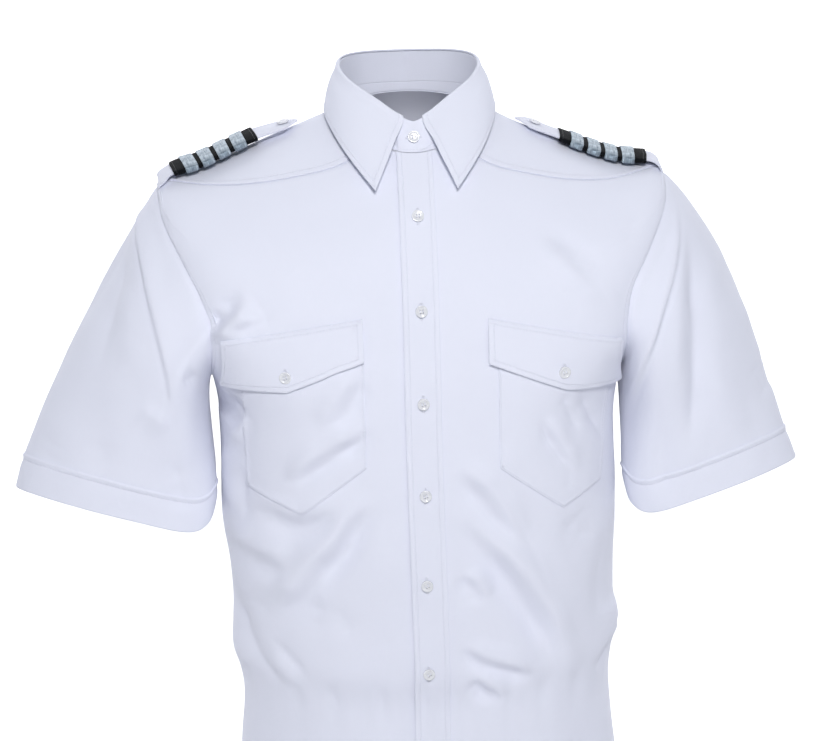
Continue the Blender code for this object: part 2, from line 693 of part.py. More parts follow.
def strap(side):
    inside, length = slide_stations(side)
    before = inside[0] * np.array([0.0, 0.12, 0.28, 0.5, 0.75])
    tip = 14.0 / length
    after = np.array([inside[-1] + 0.4 * (1.0 - tip - inside[-1]), 1.0 - tip, 1.0 - tip / 2, 1.0])
    stations = np.concatenate([before, inside, after])
    point, along, up, _, _ = strap_frames(side, stations)
    narrow = 1.0 - 0.9 * np.clip((stations - (1.0 - tip)) / tip, 0.0, 1.0)
    top, under = [], []
    for p, a, u, w in zip(point, along, up, narrow):
        row = STRAP_WIDTH / 2.0 * w * np.array([-1.0, -0.5, 0.0, 0.5, 1.0])
        top.append([strap_section(p, a, u, y, 0.0) for y in row])
        under.append([strap_section(p, a, u, y, -STRAP_WALL) for y in row])
    return sheet_body("strap_" + side, np.array(top), np.array(under))


def slide_ring(point, along, up, half, low, high, segments):
    """Closed flat section round the strap."""
    row = []
    middle = (low + high) / 2.0
    tall = (high - low) / 2.0
    for k in range(segments):
        angle = 2.0 * math.pi * (k + 0.5) / segments
        c, s = math.cos(angle), math.sin(angle)
        y = half * math.copysign(abs(c) ** 0.5, c)
        z = middle + tall * math.copysign(abs(s) ** 0.35, s)
        row.append(strap_section(point, along, up, y, z))
    return row


def slide_tube(name, side, stations, half, low, high, wall, colour, rough):
    point, along, up, _, _ = strap_frames(side, stations)
    inner, outer = [], []
    for p, a, u in zip(point, along, up):
        inner.append(slide_ring(p, a, u, half, low, high, 16))
        outer.append(slide_ring(p, a, u, half + wall * 1.5, low - wall, high + wall, 16))
    return sheet_body(name, np.array(outer), np.array(inner), True, colour, rough)


def slide(side):
    stations, length = slide_stations(side)
    gap = (SLIDE_INNER - STRAP_WALL) / 2.0
    low, high = -STRAP_WALL - gap, gap
    half = (SLIDE_WIDTH - 3.0 * SLIDE_WALL) / 2.0
    slide_tube("slide_" + side, side, stations, half, low, high, SLIDE_WALL, BLACK, 0.8)
    span = (stations[-1] - stations[0]) * length
    margin = (span - STRIPE_PITCH * (STRIPES - 1) - STRIPE_WIDTH) / 2.0
    clear = 0.45
    for k in range(STRIPES):
        begin = stations[0] + (margin + k * STRIPE_PITCH) / length
        ends = [begin, begin + STRIPE_WIDTH / length]
        slide_tube("stripe_%s_%d" % (side, k + 1), side, ends,
                   half + SLIDE_WALL * 1.5 + clear, low - SLIDE_WALL - clear,
                   high + SLIDE_WALL + clear, STRIPE_WALL, SILVER, 0.4)


for old in list(bpy.data.objects):
    bpy.data.objects.remove(old, do_unlink=True)
SHIRT = bpy.data.collections.new("pilot_shirt")
bpy.context.scene.collection.children.link(SHIRT)

FRONT = {}
for SIDE in ("left", "right"):
    OUTER, N = grid_front(SIDE)
    FRONT[SIDE] = OUTER
    sheet_body("front_" + SIDE, OUTER, OUTER - N * CLOTH)
OUTER, N = grid_yoke()
sheet_body("yoke", OUTER, OUTER - N * CLOTH)
OUTER, N = grid_back()
sheet_body("back", OUTER, OUTER - N * CLOTH)

for SIDE in ("left", "right"):
    OUTER, N = grid_sleeve(SIDE, 0.0, band_start(SIDE, HEM_BAND + 0.4), 9)
    sheet_body("sleeve_" + SIDE, OUTER, OUTER - N * CLOTH, True)
    OUTER, N = grid_sleeve(SIDE, band_start(SIDE, HEM_BAND), 1.0, 2)
    sheet_body("sleeve_hem_" + SIDE, OUTER + N * 0.5, OUTER + N * (0.5 - HEM_WALL), True)

STAND, STAND_GRID = collar_stand()
collar_leaf()
BAND_OUTLINE = [(-OVERLAP + 0.3, 20.0), (OVERLAP, 20.0), (OVERLAP, -900.0),
                (-OVERLAP + 0.3, -900.0)]
layer_body("placket", FRONT["left"], BAND_OUTLINE, PLACKET_LIFT, PLACKET_WALL)
for SIDE in ("left", "right"):
    layer_body("pocket_" + SIDE, FRONT[SIDE], POCKETS[SIDE], POCKET_LIFT, POCKET_WALL)
    layer_body("flap_" + SIDE, FRONT[SIDE], FLAPS[SIDE], FLAP_LIFT, FLAP_WALL)
    X, Z = FLAP_BUTTONS[SIDE]
    POINT, NORMAL = panel_point(FRONT[SIDE], X, Z)
    button("flap_button_" + SIDE, POINT, NORMAL, FLAP_LIFT + FLAP_WALL + 0.8)
    strap(SIDE)
    slide(SIDE)
    _, _, _, STRAP_CURVE, STRAP_LENGTH = strap_frames(SIDE, [0.0])
    AT = station_of(STRAP_CURVE, STRAP_LENGTH, 120.0)
    CENTRE, _, UP, _, _ = strap_frames(SIDE, [AT])
    button("strap_button_" + SIDE, CENTRE[0], UP[0] + np.array([0.0, -STRAP_TILT, 0.0]), 0.5)
for NUMBER, Z in enumerate(PLACKET_BUTTON_Z):
    POINT, NORMAL = panel_point(FRONT["left"], 0.0, Z)
    button("front_button_%d" % (NUMBER + 1), POINT, NORMAL, PLACKET_LIFT + PLACKET_WALL + 0.5)
MIDDLE = torso(np.array(0.0), np.array(0.0))
TOP = FOLD_CURVE(np.array(180.0))
button("collar_button", MIDDLE + (TOP - MIDDLE) * 0.5, unit([0.0, -1.0, 0.35]), 1.3)
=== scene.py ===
"""Short-sleeved pilot shirt in its worn shape: cloth panels, collar, pockets, straps, slides.

Frame: origin at the neck base, +Z up, -Y the wearer's front, +X the wearer's left.
Tables are in millimetres and become metres when a piece is made.
"""
import bpy
import math
import numpy as np
from mathutils import Matrix, Vector


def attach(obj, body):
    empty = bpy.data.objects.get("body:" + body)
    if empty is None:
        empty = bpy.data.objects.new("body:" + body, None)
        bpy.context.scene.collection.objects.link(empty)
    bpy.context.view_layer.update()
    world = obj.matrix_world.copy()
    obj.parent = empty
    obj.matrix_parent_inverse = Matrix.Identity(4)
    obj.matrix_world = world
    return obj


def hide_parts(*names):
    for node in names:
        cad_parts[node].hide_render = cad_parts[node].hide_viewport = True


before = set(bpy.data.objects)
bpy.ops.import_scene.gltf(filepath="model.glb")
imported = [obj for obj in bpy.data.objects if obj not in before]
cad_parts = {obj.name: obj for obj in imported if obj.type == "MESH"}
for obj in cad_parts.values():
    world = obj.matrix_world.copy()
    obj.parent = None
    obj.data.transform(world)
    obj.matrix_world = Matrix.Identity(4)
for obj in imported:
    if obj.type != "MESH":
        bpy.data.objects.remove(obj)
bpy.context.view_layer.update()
MM = 0.001

# Cloth sizes
CLOTH = 1.2
OVERLAP = 17.0
UNDERLAP_DIP = 1.9
HEM_BAND = 34.0
HEM_WALL = 2.0

# Worn torso: rings from the neck seam (t = 0) down to the shirt tail (t = 16).
# t, half width, front depth, back depth, z front, z side, z back, power, roll
RINGS = [
    (0.0, 64.0, 70.0, 64.0, -37.0, 0.0, 8.0, 2.05, 1.7),
    (1.0, 97.0, 94.0, 86.0, -76.0, -13.0, -12.0, 2.1, 1.6),
    (2.0, 153.0, 108.0, 101.0, -107.0, -35.0, -36.0, 2.35, 1.6),
    (3.0, 205.0, 116.0, 110.0, -131.0, -54.0, -58.0, 2.65, 1.7),
    (4.0, 241.0, 121.0, 115.0, -150.0, -69.0, -78.0, 3.0, 1.8),
    (5.0, 230.0, 126.0, 120.0, -182.0, -124.0, -104.0, 3.7, 1.9),
    (6.0, 215.0, 129.0, 122.0, -230.0, -190.0, -182.0, 3.6, 2.0),
    (7.0, 196.0, 129.0, 121.0, -276.0, -250.0, -258.0, 2.9, 2.0),
    (8.0, 191.0, 128.0, 119.0, -326.0, -315.0, -318.0, 2.5, 2.0),
    (9.0, 192.0, 126.0, 117.0, -386.0, -380.0, -380.0, 2.3, 2.0),
    (10.0, 189.5, 123.0, 115.0, -438.0, -433.0, -432.0, 2.3, 2.0),
    (11.0, 187.0, 120.0, 113.0, -490.0, -485.0, -484.0, 2.3, 2.0),
    (12.0, 187.5, 118.0, 112.0, -532.0, -524.0, -524.0, 2.3, 2.0),
    (13.0, 181.0, 110.0, 104.0, -566.0, -557.0, -558.0, 2.3, 2.0),
    (14.0, 184.0, 112.0, 110.0, -632.0, -618.0, -628.0, 2.3, 1.8),
    (15.0, 189.0, 114.0, 116.0, -712.0, -672.0, -714.0, 2.3, 2.0),
    (16.0, 191.0, 114.0, 118.0, -786.0, -712.0, -794.0, 2.3, 2.0),
]
LEFT_DROP = 5.5
WAIST_SHIFT = 3.5
T_TIP = 4.0
T_UNDER = 7.0
ARMHOLE_FRONT = 27.0
ARMHOLE_BACK = 22.0
YOKE_RING = T_TIP + (T_UNDER - T_TIP) * (1.0 - math.cos(math.pi * 5.0 / 12.0)) / 2.0

# Yoke seam over the front of the shoulder: ring, angle from the centre front
YOKE_SEAM = [(0.0, 36.0), (0.8, 45.0), (1.5, 59.0), (2.1, 69.0), (3.0, 80.5), (4.0, 90.0)]

# Collar: angle from the centre back, then x, y, z on the wearer's left
FOLD_LINE = [
    (0.0, 0.0, 60.0, 46.0), (40.0, 43.0, 46.0, 46.0), (80.0, 65.0, 9.0, 42.0),
    (105.0, 64.0, -17.0, 34.0), (130.0, 51.0, -37.0, 22.0), (152.0, 31.0, -50.0, 9.0),
    (170.0, 12.0, -58.0, -4.0), (180.0, 0.0, -60.0, -9.0), (194.0, -16.0, -58.0, -9.0),
]
LEAF_EDGE = [
    (0.0, 0.0, 84.0, -3.0), (40.0, 56.0, 64.0, -1.0), (80.0, 80.0, 8.0, -1.0),
    (105.0, 79.5, -28.0, -9.0), (130.0, 68.0, -61.0, -29.0), (152.0, 53.0, -84.0, -49.0),
    (173.0, 38.0, -99.0, -67.0),
]
LEAF_END = 173.0
STAND_END = 193.0

# Sleeves: where the hem's outer and inner ends lie, the hem's half depth in y, and how far
# the inner end rides up
SLEEVES = {
    "left": {"outer": (366.0, -36.0, -348.0), "inner": (203.0, -30.0, -405.0), "depth": 48.0,
             "leave": (0.70, 0.0, -0.71), "bow": 1.0, "rise": 22.0},
    "right": {"outer": (-387.0, -36.0, -350.0), "inner": (-200.0, -30.0, -408.0), "depth": 48.0,
              "leave": (-0.52, 0.0, -0.85), "bow": 0.95, "rise": 24.0},
}

# Creases of the worn cloth: body, kind, path in (x, z), half width, height, lean.
# A dip is a trough or, with a positive height, a ridge. A step falls from a ridge above its path
# to a trough below it, and rises there instead with a negative height. A fold is a broad swell that
# drops steeply along its path. The high side is the wearer's left with a negative width. A positive
# lean makes the slope on the left hand of the path the longer.
# The paths were read from the photo's folds through the fitted camera, to the nearest mm.
CREASES = [
    # Front, the wearer's right: armpit and pocket
    ("front", "step", [(-197, -199), (-186, -189), (-174, -176), (-163, -163), (-156, -157)], 6.5, -6.0, 0.0),
    ("front", "dip", [(-160, -150), (-146, -172), (-136, -200)], 9, -2.2, 0.0),
    ("front", "step", [(-182, -190), (-160, -184), (-138, -178)], 4, 1.6, 0.0),
    ("front", "dip", [(-170, -258), (-182, -276), (-190, -292)], 12, -6.0, 0.0),
    ("front", "dip", [(-160, -272), (-173, -295), (-186, -316)], 5, 3.6, 0.0),
    ("front", "dip", [(-171, -326), (-169, -360), (-166, -392)], 5, -3.2, 0.0),
    ("front", "dip", [(-185, -312), (-182, -350), (-178, -388)], 9, 3.0, 0.0),
    ("front", "step", [(-57, -228), (-73, -257), (-92, -286)], 9, 3.4, 0.0),
    ("front", "step", [(-48, -281), (-67, -294), (-85, -305), (-104, -319), (-129, -341)], 7.5, 4.7, 0.0),
    ("front", "step", [(-168, -357), (-143, -368), (-119, -375), (-94, -367), (-66, -347)], 9, 3.7, 0.0),
    # Belly and waist, the wearer's right
    ("front", "step", [(-36, -358), (-57, -364), (-69, -375), (-82, -397), (-100, -420), (-119, -445),
                       (-136, -465), (-163, -497)], 10, 7.1, 0.0),
    ("front", "step", [(-188, -404), (-158, -415), (-125, -424)], 11, 4.3, 0.0),
    ("front", "step", [(-178, -474), (-155, -452), (-130, -430)], 10, 3.4, 0.0),
    ("front", "dip", [(-105, -450), (-104, -492)], 9, -2.2, 0.0),
    ("front", "dip", [(-86, -460), (-70, -492)], 9, -2.0, 0.0),
    ("front", "dip", [(-180, -455), (-172, -496), (-158, -523), (-130, -551)], 6, -5.5, 0.0),
    ("front", "dip", [(-188, -470), (-182, -512), (-168, -542)], 8, 4.0, 0.0),
    ("front", "dip", [(-150, -495), (-131, -515), (-110, -539)], 4, -3.0, 0.2),
    ("front", "dip", [(-152, -510), (-136, -530), (-120, -546)], 6, 2.4, 0.0),
    ("front", "dip", [(-44, -480), (-36, -512), (-40, -548)], 10, -1.8, 0.0),
    # Chest and pocket, the wearer's left
    ("front", "step", [(107, -106), (124, -120), (141, -136), (159, -156), (178, -180)], 8.5, -3.8, 0.0),
    ("front", "dip", [(142, -124), (158, -143), (174, -164), (186, -182)], 5.5, 2.6, 0.0),
    ("front", "dip", [(198, -80), (198, -104), (195, -130)], 9, -2.6, 0.0),
    ("front", "dip", [(60, -62), (84, -50), (112, -48)], 11, -1.2, 0.0),
    ("front", "dip", [(127, -256), (137, -279), (148, -304)], 6, -3.4, 0.0),
    ("front", "dip", [(143, -250), (159, -285), (176, -322)], 9, -5.0, 0.2),
    ("front", "step", [(110, -279), (126, -308), (145, -341)], 5.5, 3.1, 0.0),
    ("front", "dip", [(139, -330), (136, -362)], 8, -1.6, 0.0),
    # Belly and waist, the wearer's left
    ("front", "dip", [(54, -320), (77, -361), (98, -405), (116, -453), (130, -496), (141, -546)],
     3.4, -1.3, 0.0),
    ("front", "step", [(30, -322), (53, -349), (71, -374), (92, -406)], 9, 5.0, 0.0),
    ("front", "step", [(24, -366), (60, -404), (79, -428), (94, -450), (109, -476), (122, -506),
                       (138, -560)], 10.5, 8.0, 0.0),
    ("front", "step", [(34, -426), (58, -458)], 7, 4.0, 0.0),
    ("front", "step", [(30, -498), (55, -517), (78, -526), (106, -539)], 7, 5.3, 0.0),
    ("front", "step", [(42, -530), (68, -560)], 7, 4.3, 0.0),
    ("front", "dip", [(130, -384), (148, -400), (166, -412)], 9, -3.2, 0.0),
    ("front", "dip", [(176, -404), (173, -438), (171, -468), (168, -502)], 9, -3.6, 0.0),
    ("front", "dip", [(180, -480), (187, -505), (186, -528)], 10, 6.0, 0.0),
    ("front", "dip", [(186, -526), (176, -540), (166, -552)], 4.5, -3.6, 0.0),
    # Back: soft drags from the shoulder blades and a little fullness over the waist
    ("back", "dip", [(-150, -170), (-130, -240), (-122, -320)], 22, -3.4, 0.2),
    ("back", "dip", [(148, -176), (132, -250), (118, -330)], 24, -3.2, -0.2),
    ("back", "step", [(-176, -300), (-140, -360), (-96, -400), (-60, -420)], 14, 3.0, 0.0),
    ("back", "step", [(178, -310), (150, -376), (110, -424), (70, -446)], 14, 3.2, 0.0),
    ("back", "step", [(-170, -420), (-128, -470), (-84, -502)], 11, 2.8, 0.0),
    ("back", "step", [(172, -430), (134, -476), (96, -512)], 11, 2.6, 0.0),
    ("back", "dip", [(-52, -440), (-44, -490), (-50, -545)], 13, -3.6, 0.2),
    ("back", "dip", [(36, -450), (44, -500), (40, -548)], 13, -3.2, 0.2),
    ("back", "dip", [(-4, -400), (2, -470), (-6, -540)], 18, 2.4, 0.0),
    ("back", "dip", [(-118, -500), (-106, -530), (-104, -556)], 9, -3.4, 0.2),
    ("back", "dip", [(112, -506), (102, -532), (100, -556)], 9, -3.4, -0.2),
    # The wearer's left sleeve
    ("left", "fold", [(250, -70), (248, -112), (243, -139), (233, -171), (223, -201), (213, -238),
                      (206, -280), (197, -335)], 20, 6.5, 0.0),
    ("left", "dip", [(257, -112), (259, -160), (260, -185), (260, -216), (260, -249), (258, -290),
                     (253, -334)], 11, -7.5, 0.3),
    ("left", "dip", [(250, -118), (246, -163), (242, -206), (239, -280)], 8, 2.6, 0.0),
    ("left", "dip", [(272, -124), (280, -190), (284, -260), (280, -330)], 17, 3.4, 0.0),
    ("left", "dip", [(318, -250), (330, -268), (340, -288)], 12, -3.2, 0.0),
    ("left", "dip", [(292, -150), (302, -180), (306, -215)], 13, -2.0, 0.0),
    ("left", "dip", [(310, -272), (318, -300), (326, -330)], 12, -1.6, 0.0),
    ("left", "dip", [(232, -300), (230, -345), (238, -384)], 10, -3.4, 0.0),
    # The wearer's right sleeve
    ("right", "fold", [(-262, -56), (-259, -112), (-253, -147), (-246, -180), (-240, -212),
                       (-235, -246), (-233, -290)], -24, 6.5, 0.0),
    ("right", "dip", [(-262, -262), (-248, -276), (-232, -284)], 9, 3.0, -0.2),
    ("right", "dip", [(-268, -96), (-277, -140), (-285, -170), (-293, -200), (-300, -245)], 11, -5.0, -0.3),
    ("right", "dip", [(-272, -150), (-270, -200), (-266, -240)], 11, 2.4, 0.0),
    ("right", "dip", [(-222, -240), (-212, -239), (-204, -234)], 8, -3.0, 0.0),
    ("right", "dip", [(-310, -290), (-300, -320), (-304, -350)], 14, -1.8, 0.0),
    ("right", "dip", [(-238, -318), (-228, -345), (-226, -376)], 12, -3.0, 0.0),
    ("right", "dip", [(-340, -290), (-352, -312), (-360, -330)], 14, -1.8, 0.0),
]

# Breast pockets and flaps: top corners, then the pointed lower edge, in (x, z)
POCKETS = {
    "left": {"top": [(70, -190), (183, -210)], "low": [(70, -327), (131, -373), (170, -354)]},
    "right": {"top": [(-168, -205), (-54, -190)], "low": [(-165, -347), (-113, -368), (-54, -322)]},
}
FLAPS = {
    "left": {"top": [(61, -184), (188, -211)], "low": [(61, -226), (132, -254), (188, -258)]},
    "right": {"top": [(-184, -200), (-54, -181)], "low": [(-184, -246), (-124, -247), (-54, -221)]},
}
FLAP_BUTTONS = {"left": (130.5, -237.0), "right": (-125.5, -233.0)}
POCKET_LIFT = 0.35
POCKET_WALL = 1.0
FLAP_LIFT = POCKET_LIFT + POCKET_WALL + 0.6
FLAP_WALL = 1.3
FLAP_SPREAD = 2.4
PLACKET_LIFT = 0.35
PLACKET_WALL = 0.9

# Shoulder straps: half width, y, height over the shoulder, from the armhole to the point
STRAPS = {
    "left": [(240.5, -3.0, 1.0), (239.0, -3.0, 4.0), (235.0, -2.8, 6.0), (226.0, -2.0, 6.8),
             (205.0, 0.0, 6.8), (175.0, 1.5, 6.4), (145.0, 3.0, 6.0), (125.0, 4.0, 6.0),
             (112.0, 5.0, 5.8), (101.0, 5.5, 3.8)],
    "right": [(240.5, -5.0, 1.0), (239.0, -5.0, 3.0), (235.0, -4.5, 4.8), (229.0, -4.0, 6.2),
              (205.0, -1.0, 8.5), (175.0, 2.0, 11.0), (150.0, 4.0, 11.0), (132.0, 6.0, 9.0),
              (118.0, 7.0, 7.2), (106.0, 8.0, 5.2)],
}
STRAP_TILT = 0.075
STRAP_ARCH = 0.8
STRAP_WIDTH = 44.0
STRAP_WALL = 1.6
STRAP_POINT = 14.0
SLIDE_SPAN = {"left": (143.0, 226.0), "right": (148.0, 227.5)}
SLIDE_WIDTH = 51.0
SLIDE_INNER = 3.0
SLIDE_WALL = 1.3
STRIPE_WIDTH = 12.5
STRIPE_PITCH = 17.0
STRIPE_WALL = 0.9
STRIPES = 4

BUTTON_RADIUS = 5.6
BUTTON_HEIGHT = 2.4
PLACKET_BUTTON_Z = (-92.0, -176.0, -262.0, -350.0, -438.0, -526.0, -640.0)

# Sewing: how far cloth runs under the panel sewn over it, and how deep it lies there
TUCK = 5.0
TUCK_DEPTH = 1.1
STITCH_PITCH = 3.0
STITCH_LENGTH = 2.3
STITCH_WIDTH = 0.5

# Armhole curves, worked out once for each side
ARMHOLES = {}

# Smooth tables and the worn surfaces


def natural_spline(xs, ys):
    """Second derivatives of the natural cubic through the points."""
    n = len(xs)
    h = np.diff(xs)
    system = np.eye(n)
    right = np.zeros((n, ys.shape[1]))
    for i in range(1, n - 1):
        system[i, i - 1] = h[i - 1]
        system[i, i] = 2.0 * (h[i - 1] + h[i])
        system[i, i + 1] = h[i]
        right[i] = 6.0 * ((ys[i + 1] - ys[i]) / h[i] - (ys[i] - ys[i - 1]) / h[i - 1])
    return np.linalg.solve(system, right)


class Curve:
    """Smooth table lookup: the first column is the key, the others are read."""

    def __init__(self, rows):
        table = np.array(rows, float)
        self.keys = table[:, 0]
        self.values = table[:, 1:]
        self.bend = natural_spline(self.keys, self.values)

    def __call__(self, key):
        key = np.clip(np.asarray(key, float), self.keys[0], self.keys[-1])
        i = np.clip(np.searchsorted(self.keys, key, side="right") - 1, 0, len(self.keys) - 2)
        h = (self.keys[i + 1] - self.keys[i])[..., None]
        a = (self.keys[i + 1] - key)[..., None] / h
        b = 1.0 - a
        cubic = ((a ** 3 - a) * self.bend[i] + (b ** 3 - b) * self.bend[i + 1]) * h * h / 6.0
        return a * self.values[i] + b * self.values[i + 1] + cubic


RING_CURVE = Curve(RINGS)
SEAM_CURVE = Curve(YOKE_SEAM)
FOLD_CURVE = Curve(FOLD_LINE)
EDGE_CURVE = Curve(LEAF_EDGE)


def smooth(x):
    x = np.clip(x, 0.0, 1.0)
    return x * x * (3.0 - 2.0 * x)


def unit(v):
    v = np.asarray(v, float)
    return v / np.maximum(np.linalg.norm(v, axis=-1, keepdims=True), 1e-9)


def torso_base(theta, t):
    """Worn torso without creases. theta in degrees from the front centre to the left."""
    ring = RING_CURVE(t)
    half, front, back, z_front, z_side, z_back, power, roll = [ring[..., k] for k in range(8)]
    c = np.cos(np.radians(theta))
    s = np.sin(np.radians(theta))
    ahead = c >= 0
    depth = np.where(ahead, front, back)
    z_end = np.where(ahead, z_front, z_back)
    r = (np.abs(c / depth) ** power + np.abs(s / half) ** power) ** (-1.0 / power)
    y = -r * c
    z = z_side + (z_end - z_side) * (np.abs(y) / depth) ** roll
    middle = smooth(t / 1.6) * smooth((T_TIP + 0.1 - t) / 1.6)
    z = z - LEFT_DROP * middle * np.clip(s, 0.0, 1.0) ** 2
    x = r * s + WAIST_SHIFT * smooth((t - 7.0) / 5.0)
    return np.stack([x, y, z], axis=-1)


def surface_normal(surface, a, b, da, db):
    pa = surface(a + da, b) - surface(a - da, b)
    pb = surface(a, b + db) - surface(a, b - db)
    return unit(np.cross(pa, pb))


def torso_base_normal(theta, t):
    return -surface_normal(torso_base, theta, np.clip(t, 0.011, 15.989), 0.2, 0.01)


def crease_line(path, count=36):
    """Smooth line through a crease's points."""
    path = np.array(path, float)
    keys = np.concatenate([[0.0], np.cumsum(np.linalg.norm(np.diff(path, axis=0), axis=1))])
    return Curve(np.column_stack([keys, path]))(np.linspace(0.0, keys[-1], count))


def crease_height(points, kind, path, half_width, height, lean, number):
    """Height of one crease over points seen from the front, uneven along its length."""
    line = crease_line(path)
    margin = 3.4 * abs(half_width)
    low = line.min(axis=0) - margin
    high = line.max(axis=0) + margin
    x = points[..., 0]
    z = points[..., 2]
    near = (x > low[0]) & (x < high[0]) & (z > low[1]) & (z < high[1])
    result = np.zeros(points.shape[:-1])
    if not near.any():
        return result
    spot = np.stack([x[near], z[near]], axis=-1)
    start = line[:-1]
    step = np.diff(line, axis=0)
    along = ((spot[:, None, :] - start) * step).sum(axis=2) / (step ** 2).sum(axis=1)
    along = np.clip(along, 0.0, 1.0)
    off = spot[:, None, :] - start - along[..., None] * step
    distance = np.linalg.norm(off, axis=2)
    best = distance.argmin(axis=1)
    pick = np.arange(len(spot))
    off = off[pick, best]
    way = step[best]
    where = (best + along[pick, best]) / len(step)
    side = np.sign(way[:, 0] * off[:, 1] - way[:, 1] * off[:, 0])
    width = half_width * (1.0 + lean * side) * (0.72 + 0.42 * np.sin(np.pi * where))
    phase = number * 2.399
    swell = 1.0 + 0.14 * np.sin(9.0 * where + phase) + 0.08 * np.sin(23.0 * where + 2.0 * phase)
    ends = smooth(where / 0.32) * smooth((1.0 - where) / 0.36)
    away = distance[pick, best] / width
    if kind == "step":
        upper = np.sign(off[:, 1] * np.abs(way[:, 0]) - off[:, 0] * way[:, 1] * np.sign(way[:, 0]))
        profile = upper * away * np.exp(0.5 - 0.5 * away ** 2)
    elif kind == "fold":
        over = side * distance[pick, best] * math.copysign(1.0, half_width)
        wide = np.abs(width)
        swell_up = np.where(over < 0, np.exp(-(over / (0.6 * wide)) ** 2), np.exp(-(over / wide) ** 2))
        drop = 0.74 * smooth(over / 5.0 + 0.5)
        profile = swell_up * (1.0 - drop) - 0.12 * np.exp(-((over - 1.5) / 3.0) ** 2)
    else:
        profile = np.exp(-away ** (1.35 if height < 0 else 1.8))
    result[near] = height * swell * ends * profile
    return result


def creases(points, body):
    total = np.zeros(points.shape[:-1])
    for number, (name, kind, path, half_width, height, lean) in enumerate(CREASES):
        if name == body:
            total = total + crease_height(points, kind, path, half_width, height, lean, number)
    return total


def unevenness(points, seed, size, squash=(1.0, 1.0, 1.0)):
    """Gentle uneven lie of cloth: a few seeded waves of about the given size, height about 1."""
    rng = np.random.default_rng(seed)
    total = np.zeros(points.shape[:-1])
    count = 16
    for _ in range(count):
        direction = unit(rng.normal(size=3)) * np.array(squash)
        wave = size * rng.uniform(0.7, 1.9)
        total = total + np.sin(points @ direction * (2.0 * np.pi / wave) + rng.uniform(0.0, 6.28))
    return total / math.sqrt(count / 2.0)


def torso_relief(base, theta, t):
    """Creases, uneven lie, and the fullness that the waist gathers."""
    y = base[..., 1]
    total = creases(base, "front") * smooth((-y + 15.0) / 60.0)
    total = total + creases(base, "back") * smooth((y + 15.0) / 60.0)
    lie = smooth(t / 1.2)
    total = total + lie * 0.42 * unevenness(base, 11, 74.0)
    total = total + lie * 0.13 * unevenness(base, 12, 26.0, (1.2, 1.0, 0.6))
    angle = np.radians(theta)
    gathers = (np.sin(21.0 * angle + 1.3 + 0.9 * np.sin(5.0 * angle))
               + 0.8 * np.sin(34.0 * angle + 0.4 + 1.1 * np.sin(3.0 * angle))
               + 0.5 * np.sin(55.0 * angle + 2.1)) / 2.3
    waist = np.exp(-((t - 12.8) / 0.5) ** 2)
    total = total + 1.5 * waist * gathers
    tail = (np.sin(9.0 * angle + 0.8) + 0.8 * np.sin(14.0 * angle + 2.2)
            + 0.5 * np.sin(23.0 * angle + 4.0)) / 2.3
    return total + 2.2 * smooth((t - 13.0) / 1.6) * tail


def torso(theta, t):
    """Outer points of the worn torso."""
    base = torso_base(theta, t)
    return base + torso_base_normal(theta, t) * torso_relief(base, theta, t)[..., None]


def outer_edge(t, bite):
    """Angle at which a front or back panel ends at ring t, before the seam slit."""
    inside = np.clip((np.asarray(t, float) - T_TIP) / (T_UNDER - T_TIP), 0.0, 1.0)
    return 90.0 - bite * np.sin(np.arccos(1.0 - 2.0 * inside))


def front_edge(t):
    t = np.asarray(t, float)
    return np.where(t < T_TIP, SEAM_CURVE(t)[..., 0], outer_edge(t, ARMHOLE_FRONT))


def centre_angle(t, width=OVERLAP):
    return -np.degrees(np.arcsin(width / RING_CURVE(t)[..., 1]))


def torso_angles(x, z):
    """Torso angle and ring under points (x, z) of the front view."""
    rings = np.linspace(0.0, 16.0, 400)
    heights = torso_base(np.full(400, 35.0), rings)[:, 2]
    t = np.interp(-z, -heights, rings)
    half = RING_CURVE(t)[..., 0]
    theta = np.degrees(np.arcsin(np.clip(x / half, -0.94, 0.94)))
    for _ in range(14):
        here = torso_base(theta, t)
        by_angle = (torso_base(theta + 0.05, t) - here) / 0.05
        by_ring = (torso_base(theta, t + 0.005) - here) / 0.005
        ex = x - here[..., 0]
        ez = z - here[..., 2]
        det = by_angle[..., 0] * by_ring[..., 2] - by_ring[..., 0] * by_angle[..., 2]
        det = np.where(np.abs(det) < 1e-6, 1e-6, det)
        d_angle = (ex * by_ring[..., 2] - by_ring[..., 0] * ez) / det
        d_ring = (by_angle[..., 0] * ez - ex * by_angle[..., 2]) / det
        theta = np.clip(theta + np.clip(d_angle, -8.0, 8.0), -88.0, 88.0)
        t = np.clip(t + np.clip(d_ring, -0.5, 0.5), 0.05, 15.9)
    return theta, t


def armhole_angles(phi, side):
    """Torso angle and ring of an armhole point. phi in degrees, 0 at the tip, 90 at the front."""
    phi = np.radians(phi)
    t = T_TIP + (T_UNDER - T_TIP) * (1.0 - np.cos(phi)) / 2.0
    bite = np.where(np.sin(phi) >= 0, ARMHOLE_FRONT, ARMHOLE_BACK) * np.sin(phi)
    sign = 1.0 if side == "left" else -1.0
    return sign * (90.0 - bite), t


def armhole_points(side, phi):
    """Worn armhole under the angles phi, read from one ring of points."""
    if side not in ARMHOLES:
        ring = np.linspace(0.0, 360.0, 241)
        theta, t = armhole_angles(ring, side)
        ARMHOLES[side] = Curve(np.column_stack([ring, torso(theta, t)]))
    return ARMHOLES[side](np.mod(phi, 360.0))


